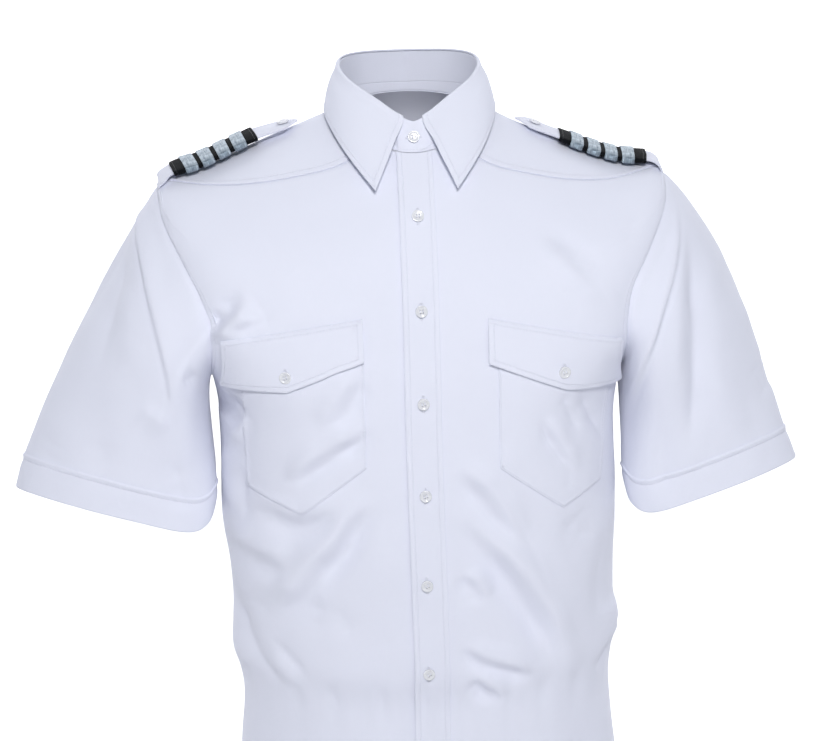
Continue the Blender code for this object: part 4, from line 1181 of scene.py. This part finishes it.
def stretch(tree, vector, scale):
    node = tree.nodes.new("ShaderNodeMapping")
    tree.links.new(vector, node.inputs["Vector"])
    node.inputs["Scale"].default_value = scale
    return node.outputs[0]


def split(tree, vector):
    node = tree.nodes.new("ShaderNodeSeparateXYZ")
    tree.links.new(vector, node.inputs[0])
    return node.outputs


def plain_weave_group():
    """Over-and-under threads of a plain weave, with the slubs of its yarn."""
    tree, ins, outs = new_group(
        "plain weave",
        [("Map", "NodeSocketVector", None), ("Thread Pitch", "NodeSocketFloat", 0.0004),
         ("Slub", "NodeSocketFloat", 0.04)],
        [("Height", "NodeSocketFloat"), ("Shade", "NodeSocketFloat")])
    axes = split(tree, ins.outputs["Map"])
    u = calc(tree, "DIVIDE", axes[0], ins.outputs["Thread Pitch"])
    v = calc(tree, "DIVIDE", axes[1], ins.outputs["Thread Pitch"])
    su = calc(tree, "SINE", calc(tree, "MULTIPLY", u, math.pi))
    sv = calc(tree, "SINE", calc(tree, "MULTIPLY", v, math.pi))
    over = calc(tree, "MULTIPLY_ADD", calc(tree, "MULTIPLY", su, sv), 0.5, 0.5)
    warp = calc(tree, "MULTIPLY", calc(tree, "ABSOLUTE", su), over)
    weft = calc(tree, "MULTIPLY", calc(tree, "ABSOLUTE", sv), calc(tree, "SUBTRACT", 1.0, over))
    height = calc(tree, "ADD", warp, weft)
    long_slub = noise(tree, stretch(tree, ins.outputs["Map"], (1600.0, 90.0, 1.0)), 1.0)
    cross_slub = noise(tree, stretch(tree, ins.outputs["Map"], (90.0, 1600.0, 1.0)), 1.0)
    both = calc(tree, "SUBTRACT", calc(tree, "ADD", long_slub, cross_slub), 1.0)
    shade = calc(tree, "MULTIPLY_ADD", both, ins.outputs["Slub"], 1.0)
    tree.links.new(calc(tree, "MULTIPLY_ADD", both, 0.6, height), outs.inputs["Height"])
    tree.links.new(shade, outs.inputs["Shade"])
    return tree


def stitched_row_group():
    """The groove that a row of stitches pulls into cloth, and the puckers beside it."""
    tree, ins, outs = new_group(
        "stitched row",
        [("Map", "NodeSocketVector", None), ("Groove Width", "NodeSocketFloat", 0.0011),
         ("Pucker", "NodeSocketFloat", 0.5)],
        [("Height", "NodeSocketFloat"), ("Groove", "NodeSocketFloat")])
    axes = split(tree, ins.outputs["Map"])
    gap = calc(tree, "ABSOLUTE", axes[0])
    near = calc(tree, "SUBTRACT", 1.0, calc(tree, "DIVIDE", gap, ins.outputs["Groove Width"]), clamp=True)
    groove = calc(tree, "MULTIPLY", near, near)
    beside = calc(tree, "SUBTRACT", 1.0, calc(tree, "DIVIDE", gap, 0.0065), clamp=True)
    ripples = noise(tree, stretch(tree, ins.outputs["Map"], (30.0, 210.0, 1.0)), 1.0, 1.5)
    pucker = calc(tree, "MULTIPLY", calc(tree, "MULTIPLY", calc(tree, "SUBTRACT", ripples, 0.5), beside),
                  ins.outputs["Pucker"])
    tree.links.new(calc(tree, "MULTIPLY_ADD", groove, -0.32, pucker), outs.inputs["Height"])
    tree.links.new(groove, outs.inputs["Groove"])
    return tree


def handling_group():
    """Small creases and the uneven press of cloth that has been worn."""
    tree, ins, outs = new_group(
        "handled cloth",
        [("Place", "NodeSocketVector", None), ("Crease Depth", "NodeSocketFloat", 0.2),
         ("Tone", "NodeSocketFloat", 0.02)],
        [("Height", "NodeSocketFloat"), ("Shade", "NodeSocketFloat")])
    soft = noise(tree, ins.outputs["Place"], 26.0, 3.0, 0.55)
    bend = calc(tree, "ABSOLUTE", calc(tree, "SUBTRACT", noise(tree, ins.outputs["Place"], 48.0, 2.0), 0.5))
    ridge = calc(tree, "SUBTRACT", 1.0, calc(tree, "MULTIPLY", bend, 7.0), clamp=True)
    patchy = calc(tree, "MULTIPLY", calc(tree, "SUBTRACT", noise(tree, ins.outputs["Place"], 9.0), 0.44),
                  4.0, clamp=True)
    fine = calc(tree, "MULTIPLY", calc(tree, "MULTIPLY", ridge, ridge), calc(tree, "MULTIPLY", patchy, 0.35))
    height = calc(tree, "MULTIPLY", calc(tree, "ADD", soft, fine), ins.outputs["Crease Depth"])
    broad = calc(tree, "SUBTRACT", noise(tree, ins.outputs["Place"], 7.0, 3.0), 0.5)
    tree.links.new(height, outs.inputs["Height"])
    tree.links.new(calc(tree, "MULTIPLY_ADD", broad, ins.outputs["Tone"], 1.0), outs.inputs["Shade"])
    return tree


def braid_group():
    """Metal-thread braid: chevrons of fine threads with a few darker ones, and painted shade between the
    threads.
    """
    tree, ins, outs = new_group(
        "metal braid",
        [("Map", "NodeSocketVector", None), ("Thread Pitch", "NodeSocketFloat", 0.0009),
         ("Chevron", "NodeSocketFloat", 0.0042)],
        [("Height", "NodeSocketFloat"), ("Streaks And Thread Shade", "NodeSocketFloat")])
    axes = split(tree, ins.outputs["Map"])
    zigzag = calc(tree, "PINGPONG", axes[1], ins.outputs["Chevron"])
    run = calc(tree, "DIVIDE", calc(tree, "ADD", axes[0], zigzag), ins.outputs["Thread Pitch"])
    thread = calc(tree, "ABSOLUTE", calc(tree, "SINE", calc(tree, "MULTIPLY", run, math.pi)))
    rib = calc(tree, "DIVIDE", zigzag, ins.outputs["Chevron"])
    column = calc(tree, "SINE", calc(tree, "MULTIPLY", rib, math.pi))
    height = calc(tree, "ADD", calc(tree, "MULTIPLY", thread, 0.6), calc(tree, "MULTIPLY", column, 0.8))
    streak = noise(tree, stretch(tree, ins.outputs["Map"], (70.0, 900.0, 1.0)), 1.0, 2.0)
    patch = noise(tree, stretch(tree, ins.outputs["Map"], (160.0, 110.0, 1.0)), 1.0, 1.0)
    # Random streaks and patches, plus painted shade: darker between the threads, lighter on their crowns.
    streaks_and_thread_shade = calc(tree, "MULTIPLY_ADD", calc(tree, "SUBTRACT", streak, 0.5), 1.5,
                 calc(tree, "MULTIPLY_ADD", patch, 0.9, calc(tree, "MULTIPLY_ADD", thread, 0.2, -0.05)),
                 clamp=True)
    tree.links.new(height, outs.inputs["Height"])
    tree.links.new(streaks_and_thread_shade, outs.inputs["Streaks And Thread Shade"])
    return tree


WEAVE = plain_weave_group()
SEWN = stitched_row_group()
HANDLED = handling_group()
BRAID = braid_group()


def new_material(name, roughness, **constants):
    material = bpy.data.materials.new(name)
    material.use_nodes = True
    tree = material.node_tree
    shader = tree.nodes["Principled BSDF"]
    shader.inputs["Roughness"].default_value = roughness
    for label, value in constants.items():
        shader.inputs[label.replace("_", " ")].default_value = value
    return material, tree, shader


def uv_map(tree, name):
    node = tree.nodes.new("ShaderNodeUVMap")
    node.uv_map = name
    return node.outputs[0]


def object_place(tree):
    return tree.nodes.new("ShaderNodeTexCoord").outputs["Object"]


def tint(tree, dark, light, factor):
    node = tree.nodes.new("ShaderNodeMix")
    node.data_type = "RGBA"
    set_or_link(tree, node.inputs[0], factor)
    node.inputs[6].default_value = dark
    node.inputs[7].default_value = light
    return node.outputs[2]


def bump(tree, shader, height, distance=0.001):
    """height is in millimetres."""
    node = tree.nodes.new("ShaderNodeBump")
    node.inputs["Strength"].default_value = 1.0
    node.inputs["Distance"].default_value = distance
    tree.links.new(height, node.inputs["Height"])
    tree.links.new(node.outputs[0], shader.inputs["Normal"])


def shirting(name, crease_depth, pucker):
    """White plain-weave shirting with a cool cast."""
    material, tree, shader = new_material(
        name, 0.86, Sheen_Weight=0.14, Sheen_Roughness=0.45, Specular_IOR_Level=0.28)
    weave_uv = uv_map(tree, "weave")
    weave = place_group(tree, WEAVE, Map=weave_uv, Thread_Pitch=0.00042, Slub=0.05)
    sewn = place_group(tree, SEWN, Map=uv_map(tree, "seam"), Groove_Width=0.0012, Pucker=pucker)
    worn = place_group(tree, HANDLED, Place=object_place(tree), Crease_Depth=crease_depth, Tone=0.05)
    shade = calc(tree, "MULTIPLY", weave.outputs["Shade"], worn.outputs["Shade"])
    # Painted shade: the cloth's colour is darker in the grooves of the stitched rows.
    shade = calc(tree, "MULTIPLY_ADD", sewn.outputs["Groove"], -0.06, shade)
    level = calc(tree, "MULTIPLY", calc(tree, "SUBTRACT", shade, 0.9), 5.0, clamp=True)
    colour = tint(tree, (0.765, 0.782, 0.890, 1.0), (0.845, 0.858, 0.945, 1.0), level)
    tree.links.new(colour, shader.inputs["Base Color"])
    rough = calc(tree, "MULTIPLY_ADD", weave.outputs["Height"], -0.06, 0.9)
    tree.links.new(rough, shader.inputs["Roughness"])
    height = calc(tree, "MULTIPLY_ADD", weave.outputs["Height"], 0.014,
                  calc(tree, "ADD", sewn.outputs["Height"], worn.outputs["Height"]))
    bump(tree, shader, height)
    return material


def slide_cloth():
    """Black wool-like cloth of the rank slides."""
    material, tree, shader = new_material(
        "black_slide_cloth", 0.85, Sheen_Weight=0.01, Sheen_Roughness=0.5, Specular_IOR_Level=0.12)
    weave = place_group(tree, WEAVE, Map=uv_map(tree, "weave"), Thread_Pitch=0.0007, Slub=0.6)
    worn = place_group(tree, HANDLED, Place=object_place(tree), Crease_Depth=0.15, Tone=0.5)
    shade = calc(tree, "MULTIPLY", weave.outputs["Shade"], worn.outputs["Shade"])
    level = calc(tree, "SUBTRACT", shade, 0.5, clamp=True)
    colour = tint(tree, (0.0015, 0.002, 0.003, 1.0), (0.006, 0.007, 0.009, 1.0), level)
    tree.links.new(colour, shader.inputs["Base Color"])
    height = calc(tree, "MULTIPLY_ADD", weave.outputs["Height"], 0.08, worn.outputs["Height"])
    bump(tree, shader, height)
    return material


def silver_braid():
    """Silver braid of the stripes, with a cool blue sheen."""
    material, tree, shader = new_material("silver_braid", 0.4, Specular_IOR_Level=0.6)
    braid = place_group(tree, BRAID, Map=uv_map(tree, "weave"), Thread_Pitch=0.0009, Chevron=0.0042)
    # Colour from random streaks, with painted shade between the threads.
    colour = tint(tree, (0.07, 0.11, 0.16, 1.0), (0.50, 0.58, 0.64, 1.0), braid.outputs["Streaks And Thread Shade"])
    tree.links.new(colour, shader.inputs["Base Color"])
    metal = calc(tree, "MULTIPLY_ADD", braid.outputs["Streaks And Thread Shade"], 0.2, 0.75)
    rough = calc(tree, "MULTIPLY_ADD", braid.outputs["Height"], -0.12, 0.52)
    tree.links.new(metal, shader.inputs["Metallic"])
    tree.links.new(rough, shader.inputs["Roughness"])
    bump(tree, shader, calc(tree, "MULTIPLY", braid.outputs["Height"], 0.16))
    return material


def pearl():
    """Pearly white button with faint clouds."""
    material, tree, shader = new_material("pearl_button", 0.2, Coat_Weight=0.6, Coat_Roughness=0.08,
                                          Specular_IOR_Level=0.6)
    place = object_place(tree)
    clouds = noise(tree, stretch(tree, place, (1.0, 1.0, 2.4)), 260.0, 3.0)
    colour = tint(tree, (0.66, 0.67, 0.72, 1.0), (0.90, 0.90, 0.90, 1.0), clouds)
    tree.links.new(colour, shader.inputs["Base Color"])
    tree.links.new(calc(tree, "MULTIPLY_ADD", clouds, 0.16, 0.14), shader.inputs["Roughness"])
    bump(tree, shader, calc(tree, "MULTIPLY", clouds, 0.05))
    return material


def thread(name, dark, light):
    """Twisted sewing thread."""
    material, tree, shader = new_material(name, 0.6, Sheen_Weight=0.2, Sheen_Roughness=0.4)
    place = object_place(tree)
    twist = noise(tree, place, 1500.0, 1.0)
    tree.links.new(tint(tree, dark, light, twist), shader.inputs["Base Color"])
    tree.links.new(calc(tree, "MULTIPLY_ADD", twist, 0.2, 0.5), shader.inputs["Roughness"])
    bump(tree, shader, calc(tree, "MULTIPLY", twist, 0.06))
    return material


def studio_paper():
    """Pale seamless paper of the studio."""
    material, tree, shader = new_material("studio_paper", 0.9, Specular_IOR_Level=0.1,
                                          Emission_Color=(1.0, 1.0, 1.0, 1.0))
    place = object_place(tree)
    tone = noise(tree, place, 2.0, 2.0)
    tree.links.new(tint(tree, (0.78, 0.78, 0.79, 1.0), (0.80, 0.80, 0.81, 1.0), tone),
                   shader.inputs["Base Color"])
    risen = calc(tree, "MULTIPLY_ADD", split(tree, place)[2], 14.0, 12.7, clamp=True)
    tree.links.new(calc(tree, "MULTIPLY", risen, 0.8), shader.inputs["Emission Strength"])
    return material


BODY_CLOTH = shirting("white_shirting", 0.30, 0.55)
TRIM_CLOTH = shirting("white_interlined_shirting", 0.12, 0.35)
SLIDE_CLOTH = slide_cloth()
SILVER = silver_braid()
PEARL = pearl()
WHITE_THREAD = thread("white_thread", (0.74, 0.75, 0.85, 1.0), (0.88, 0.89, 0.96, 1.0))
BLACK_THREAD = thread("black_thread", (0.006, 0.006, 0.008, 1.0), (0.03, 0.03, 0.035, 1.0))


# The shirt

FRONT = {side: front_patch(side) for side in ("left", "right")}
YOKE = yoke_patch()
BACK = back_patch()
PLACKET = placket_patch()
LEAF = collar_leaf_patch()
STAND = collar_stand_patch()

SEWING = {"body": [], "collar": [], "band": [], "straps": [], "slides": []}


def sew(group, patch, edge, distance, part=(0.0, 1.0)):
    """Adds one row of stitches inside an edge."""
    line, ups = patch.line_inside(edge, distance)
    first = int(part[0] * (len(line) - 1))
    last = int(part[1] * (len(line) - 1)) + 1
    if last - first > 2:
        SEWING[group].extend(sewn_row(line[first:last], ups[first:last]))


for SIDE in ("left", "right"):
    PANEL = cloth_piece("front_%s_cloth" % SIDE, FRONT[SIDE], CLOTH, BODY_CLOTH, ("end", "bottom"), 6.0)
    dress(PANEL, "front_" + SIDE)
    sew("body", FRONT[SIDE], "end", 6.0, (0.27, 1.0))
    sew("body", FRONT[SIDE], "bottom", 6.0)
    END = band_start(SIDE, sleeve_angles(), HEM_BAND - 4.0)[None, :]
    SLEEVE = sleeve_patch(SIDE, np.zeros_like(END), END, 258.0, True, False)
    PIECE = cloth_piece("sleeve_%s_cloth" % SIDE, SLEEVE, CLOTH, BODY_CLOTH)
    dress(PIECE, "sleeve_" + SIDE)
    HEM = hem_patch(SIDE)
    PIECE = cloth_piece("sleeve_hem_%s_cloth" % SIDE, HEM, HEM_WALL, BODY_CLOTH, ("top",), 6.4)
    dress(PIECE, "sleeve_hem_" + SIDE)
    sew("body", HEM, "top", 6.4)
    POCKET = pocket_patch(SIDE)
    PIECE = cloth_piece("pocket_%s_cloth" % SIDE, POCKET, POCKET_WALL, BODY_CLOTH,
                        ("start", "end", "bottom"), 2.0)
    dress(PIECE, "pocket_" + SIDE)
    for EDGE in ("start", "end", "bottom"):
        sew("body", POCKET, EDGE, 2.0)
    FLAP = flap_patch(SIDE)
    PIECE = cloth_piece("flap_%s_cloth" % SIDE, FLAP, FLAP_WALL, TRIM_CLOTH,
                        ("start", "end", "bottom", "top"), 5.6)
    dress(PIECE, "flap_" + SIDE)
    for EDGE in ("start", "end", "bottom", "top"):
        sew("body", FLAP, EDGE, 5.6)
    sew("body", FLAP, "top", 1.6)
    STRAP = strap_patch(SIDE)
    PIECE = cloth_piece("strap_%s_cloth" % SIDE, STRAP, STRAP_WALL, TRIM_CLOTH,
                        ("start", "end", "bottom"), 5.0)
    dress(PIECE, "strap_" + SIDE)
    for EDGE in ("start", "end"):
        sew("straps", STRAP, EDGE, 5.0)
    SLIDE = slide_patch(SIDE)
    PIECE = cloth_piece("slide_%s_cloth" % SIDE, SLIDE, SLIDE_WALL, SLIDE_CLOTH, ("top", "bottom"), 3.4)
    dress(PIECE, "slide_" + SIDE)
    for EDGE in ("top", "bottom"):
        sew("slides", SLIDE, EDGE, 3.4)
    for NUMBER in range(STRIPES):
        STRIPE = stripe_patch(SIDE, NUMBER)
        NAME = "stripe_%s_%d" % (SIDE, NUMBER + 1)
        PIECE = cloth_piece(NAME + "_braid", STRIPE, STRIPE_WALL + 0.4, SILVER)
        dress(PIECE, NAME)

YOKE_PIECE = cloth_piece("yoke_cloth", YOKE, CLOTH, BODY_CLOTH, ("start", "end", "bottom"), 6.0)
dress(YOKE_PIECE, "yoke")
for EDGE in ("start", "end", "bottom"):
    sew("body", YOKE, EDGE, 6.0)
    sew("body", YOKE, EDGE, 2.0)
BACK_PIECE = cloth_piece("back_cloth", BACK, CLOTH, BODY_CLOTH, ("start", "end", "bottom"), 6.0)
dress(BACK_PIECE, "back")
sew("body", BACK, "bottom", 6.0)
for EDGE in ("start", "end"):
    sew("body", BACK, EDGE, 6.0, (0.03, 0.22))
BAND_PIECE = cloth_piece("placket_cloth", PLACKET, PLACKET_WALL, TRIM_CLOTH, ("start", "end"), 5.0)
dress(BAND_PIECE, "placket")
for EDGE in ("start", "end"):
    sew("band", PLACKET, EDGE, 5.0)
LEAF_PIECE = cloth_piece("collar_leaf_cloth", LEAF, 1.3, TRIM_CLOTH, ("start", "end", "bottom"), 5.6)
dress(LEAF_PIECE, "collar_leaf")
for EDGE in ("start", "end"):
    sew("collar", LEAF, EDGE, 5.6, (0.12, 0.94))
sew("collar", LEAF, "bottom", 5.6, (0.012, 0.988))
STAND_PIECE = cloth_piece("collar_stand_cloth", STAND, CLOTH, TRIM_CLOTH, ("bottom",), 30.0)
dress(STAND_PIECE, "collar_stand")
sew("collar", STAND, "top", 3.0)


# Buttons


def make_button():
    """Four-hole button, modelled once at the origin with its face up."""
    clear_selection()
    radius = BUTTON_RADIUS * MM
    bpy.ops.mesh.primitive_cylinder_add(vertices=40, radius=radius, depth=BUTTON_HEIGHT * MM,
                                        location=(0.0, 0.0, BUTTON_HEIGHT * MM / 2.0), calc_uvs=False)
    body = bpy.context.active_object
    bpy.ops.object.transform_apply(location=True, rotation=True, scale=True)
    bpy.ops.object.mode_set(mode="EDIT")
    bpy.ops.mesh.select_mode(type="FACE")
    bpy.ops.mesh.select_all(action="DESELECT")
    bpy.ops.object.mode_set(mode="OBJECT")
    for face in body.data.polygons:
        face.select = face.normal.z > 0.9
    bpy.ops.object.mode_set(mode="EDIT")
    bpy.ops.mesh.inset(thickness=1.25 * MM, depth=0.0)
    bpy.ops.mesh.inset(thickness=0.75 * MM, depth=-0.55 * MM)
    bpy.ops.mesh.inset(thickness=1.2 * MM, depth=-0.05 * MM)
    bpy.ops.object.mode_set(mode="OBJECT")
    soften = body.modifiers.new("rim", "BEVEL")
    soften.width = 0.5 * MM
    soften.segments = 4
    soften.limit_method = "ANGLE"
    soften.angle_limit = math.radians(25.0)
    bpy.ops.object.modifier_apply(modifier="rim")
    for dx in (-1.25, 1.25):
        for dy in (-1.25, 1.25):
            clear_selection()
            bpy.ops.mesh.primitive_cylinder_add(vertices=14, radius=0.72 * MM, depth=8.0 * MM,
                                                location=(dx * MM, dy * MM, 1.0 * MM), calc_uvs=False)
            drill = bpy.context.active_object
            clear_selection()
            bpy.context.view_layer.objects.active = body
            body.select_set(True)
            hole = body.modifiers.new("hole", "BOOLEAN")
            hole.operation = "DIFFERENCE"
            hole.object = drill
            bpy.ops.object.modifier_apply(modifier="hole")
            bpy.data.objects.remove(drill, do_unlink=True)
    bpy.ops.object.shade_smooth_by_angle(angle=math.radians(40.0))
    body.data.materials.clear()
    body.data.materials.append(PEARL)
    body.data.materials.append(WHITE_THREAD)
    strands = []
    for dx in (-1.25, 1.25):
        for shift in (-0.26, 0.26):
            clear_selection()
            bpy.ops.mesh.primitive_cylinder_add(vertices=8, radius=0.3 * MM, depth=3.0 * MM,
                                                location=((dx + shift) * MM, 0.0, 1.98 * MM),
                                                rotation=(math.radians(90.0), 0.0, 0.0), calc_uvs=False)
            strand = bpy.context.active_object
            bpy.ops.object.mode_set(mode="EDIT")
            bpy.ops.mesh.subdivide(number_cuts=1)
            bpy.ops.object.mode_set(mode="OBJECT")
            bpy.ops.object.transform_apply(location=True, rotation=True, scale=True)
            for vertex in strand.data.vertices:
                vertex.co.z -= 0.9 * MM * min(1.0, abs(vertex.co.y) / (1.5 * MM)) ** 3
            for face in strand.data.polygons:
                face.use_smooth = True
                face.material_index = 0
            strand.data.materials.append(WHITE_THREAD)
            strands.append(strand)
    clear_selection()
    for strand in strands:
        strand.select_set(True)
    body.select_set(True)
    bpy.context.view_layer.objects.active = body
    bpy.ops.object.join()
    return body


MASTER_BUTTON = make_button()


def set_button(node, point, normal, turn, lift):
    """A copy of the button at its node's place."""
    mesh = MASTER_BUTTON.data.copy()
    mesh.name = node + "_pearl"
    z = unit(normal)
    x = unit(np.cross([0.0, 0.0, 1.0], z) if abs(z[2]) < 0.9 else np.cross([0.0, 1.0, 0.0], z))
    y = np.cross(z, x)
    c, s = math.cos(math.radians(turn)), math.sin(math.radians(turn))
    x, y = x * c + y * s, y * c - x * s
    at = (np.asarray(point) + z * lift) * MM
    matrix = Matrix(((x[0], y[0], z[0], at[0]), (x[1], y[1], z[1], at[1]),
                     (x[2], y[2], z[2], at[2]), (0.0, 0.0, 0.0, 1.0)))
    mesh.transform(matrix)
    piece = bpy.data.objects.new(node + "_pearl", mesh)
    bpy.context.scene.collection.objects.link(piece)
    return dress(piece, node)


def front_place(x, z):
    """Point and outward normal of the front at (x, z), without any layer on it."""
    xs = x + np.array([[-3.0, 0.0, 3.0]] * 3)
    zs = z + np.array([[3.0] * 3, [0.0] * 3, [-3.0] * 3])
    theta, t = torso_angles(xs, zs)
    points = torso(theta, t)
    normals = grid_normals(points, np.array([0.0, -1.0, 0.0]))
    return points[1, 1], normals[1, 1]


HOLES = []
for NUMBER, HEIGHT in enumerate(PLACKET_BUTTON_Z):
    POINT, NORMAL = front_place(0.0, HEIGHT)
    RISE = PLACKET_LIFT + PLACKET_WALL + 0.4
    set_button("front_button_%d" % (NUMBER + 1), POINT, NORMAL, 7.0 * NUMBER, RISE)
    DOWN = unit(np.cross(NORMAL, [1.0, 0.0, 0.0]))
    HOLES.extend(buttonhole(POINT + NORMAL * (PLACKET_LIFT + PLACKET_WALL), DOWN, NORMAL))
for SIDE in ("left", "right"):
    X, Z = FLAP_BUTTONS[SIDE]
    POINT, NORMAL = front_place(X, Z)
    RISE = FLAP_LIFT + FLAP_WALL + 0.5
    set_button("flap_button_" + SIDE, POINT, NORMAL, 20.0, RISE)
    DOWN = unit(np.cross(NORMAL, [1.0, 0.0, 0.0]))
    HOLES.extend(buttonhole(POINT + NORMAL * (RISE - 0.1), DOWN, NORMAL))
    AT = station_of(SIDE, 120.0)
    SPOTS = strap_points(SIDE, np.array([AT, AT + 0.02]), np.zeros(2), np.zeros(2))
    UP = unit(np.cross(SPOTS[1] - SPOTS[0], [0.0, 1.0, 0.0]))
    UP = UP if UP[2] > 0 else -UP
    UP = unit(UP + np.array([0.0, -STRAP_TILT, 0.0]))
    set_button("strap_button_" + SIDE, SPOTS[0], UP, 45.0, 0.5)
    HOLES.extend(buttonhole(SPOTS[0] + UP * 0.2, SPOTS[1] - SPOTS[0], UP))
MIDDLE = torso(np.array([0.0]), np.array([0.0]))[0]
TOP = FOLD_CURVE(np.array(180.0))
UP = unit([0.0, -1.0, 0.35])
set_button("collar_button", MIDDLE + (TOP - MIDDLE) * 0.5, UP, 10.0, 1.3)
HOLES.extend(buttonhole(MIDDLE + (TOP - MIDDLE) * 0.5 + UP * 0.75, [1.0, 0.0, 0.0], UP, 14.0))
bpy.data.objects.remove(MASTER_BUTTON, do_unlink=True)

thread_piece("body_stitching", SEWING["body"], WHITE_THREAD)
thread_piece("collar_stitching", SEWING["collar"], WHITE_THREAD)
thread_piece("placket_stitching", SEWING["band"], WHITE_THREAD)
thread_piece("strap_stitching", SEWING["straps"], WHITE_THREAD)
thread_piece("slide_stitching", SEWING["slides"], BLACK_THREAD)
thread_piece("buttonholes", HOLES, WHITE_THREAD)


# Studio: pale paper, soft light, and the photo's camera


def studio():
    clear_selection()
    bpy.ops.mesh.primitive_grid_add(x_subdivisions=2, y_subdivisions=40, size=1.0, calc_uvs=False)
    paper = bpy.context.active_object
    paper.name = "studio_paper"
    back, floor, radius, front, wide = 0.62, -0.92, 0.45, -2.6, 7.0
    rows = []
    for k in range(41):
        f = k / 40.0
        if f < 0.3:
            rows.append((front + (back - radius - front) * f / 0.3, floor))
        elif f < 0.7:
            a = (f - 0.3) / 0.4 * math.pi / 2.0
            rows.append((back - radius + radius * math.sin(a), floor + radius * (1.0 - math.cos(a))))
        else:
            rows.append((back, floor + radius + 2.6 * (f - 0.7) / 0.3))
    for vertex in paper.data.vertices:
        k = int(round((vertex.co.y + 0.5) * 40.0))
        vertex.co = (vertex.co.x * wide, rows[k][0], rows[k][1])
    paper.data.materials.append(studio_paper())
    bpy.ops.object.shade_smooth_by_angle(angle=math.radians(60.0))


def area_light(name, place, target, size, power, colour=(1.0, 1.0, 1.0)):
    light = bpy.data.lights.new(name, "AREA")
    light.shape = "DISK"
    light.size = size
    light.energy = power
    light.color = colour
    lamp = bpy.data.objects.new(name, light)
    lamp.location = place
    lamp.rotation_euler = (Vector(target) - Vector(place)).to_track_quat("-Z", "Y").to_euler()
    bpy.context.scene.collection.objects.link(lamp)


studio()
area_light("soft_key", (0.0, -2.2, 1.0), (0.0, 0.0, -0.2), 0.5, 37.0)
area_light("soft_fill", (1.6, -1.8, 0.6), (0.0, 0.0, -0.2), 1.2, 0.8)

WORLD = bpy.data.worlds.new("studio_air")
bpy.context.scene.world = WORLD
WORLD.use_nodes = True
WORLD.node_tree.nodes["Background"].inputs["Color"].default_value = (0.84, 0.89, 1.0, 1.0)
WORLD.node_tree.nodes["Background"].inputs["Strength"].default_value = 0.30

# Camera
LENS = 113.82
CAMERA_PLACE = (-0.135, -2.4451, 0.2629)
LOOK_DOWN = 12.0
LOOK_ASIDE = -3.0
LEAN = 1.35


def photo_camera():
    data = bpy.data.cameras.new("photo_camera")
    data.lens = LENS
    data.sensor_width = 36.0
    data.sensor_fit = "HORIZONTAL"
    data.clip_start = 0.05
    camera = bpy.data.objects.new("photo_camera", data)
    down, aside, lean = math.radians(LOOK_DOWN), math.radians(LOOK_ASIDE), math.radians(LEAN)
    turn = Matrix.Rotation(aside, 3, "Z")
    right = turn @ Vector((1.0, 0.0, 0.0))
    ahead = turn @ Vector((0.0, math.cos(down), -math.sin(down)))
    up = turn @ Vector((0.0, math.sin(down), math.cos(down)))
    c, s = math.cos(lean), math.sin(lean)
    side = right * c - up * s
    top = right * s + up * c
    camera.matrix_world = Matrix(((side[0], top[0], -ahead[0], CAMERA_PLACE[0]),
                                  (side[1], top[1], -ahead[1], CAMERA_PLACE[1]),
                                  (side[2], top[2], -ahead[2], CAMERA_PLACE[2]),
                                  (0.0, 0.0, 0.0, 1.0)))
    bpy.context.scene.collection.objects.link(camera)
    bpy.context.scene.camera = camera


photo_camera()
bpy.context.scene.view_settings.view_transform = "Standard"
bpy.context.scene.view_settings.look = "None"
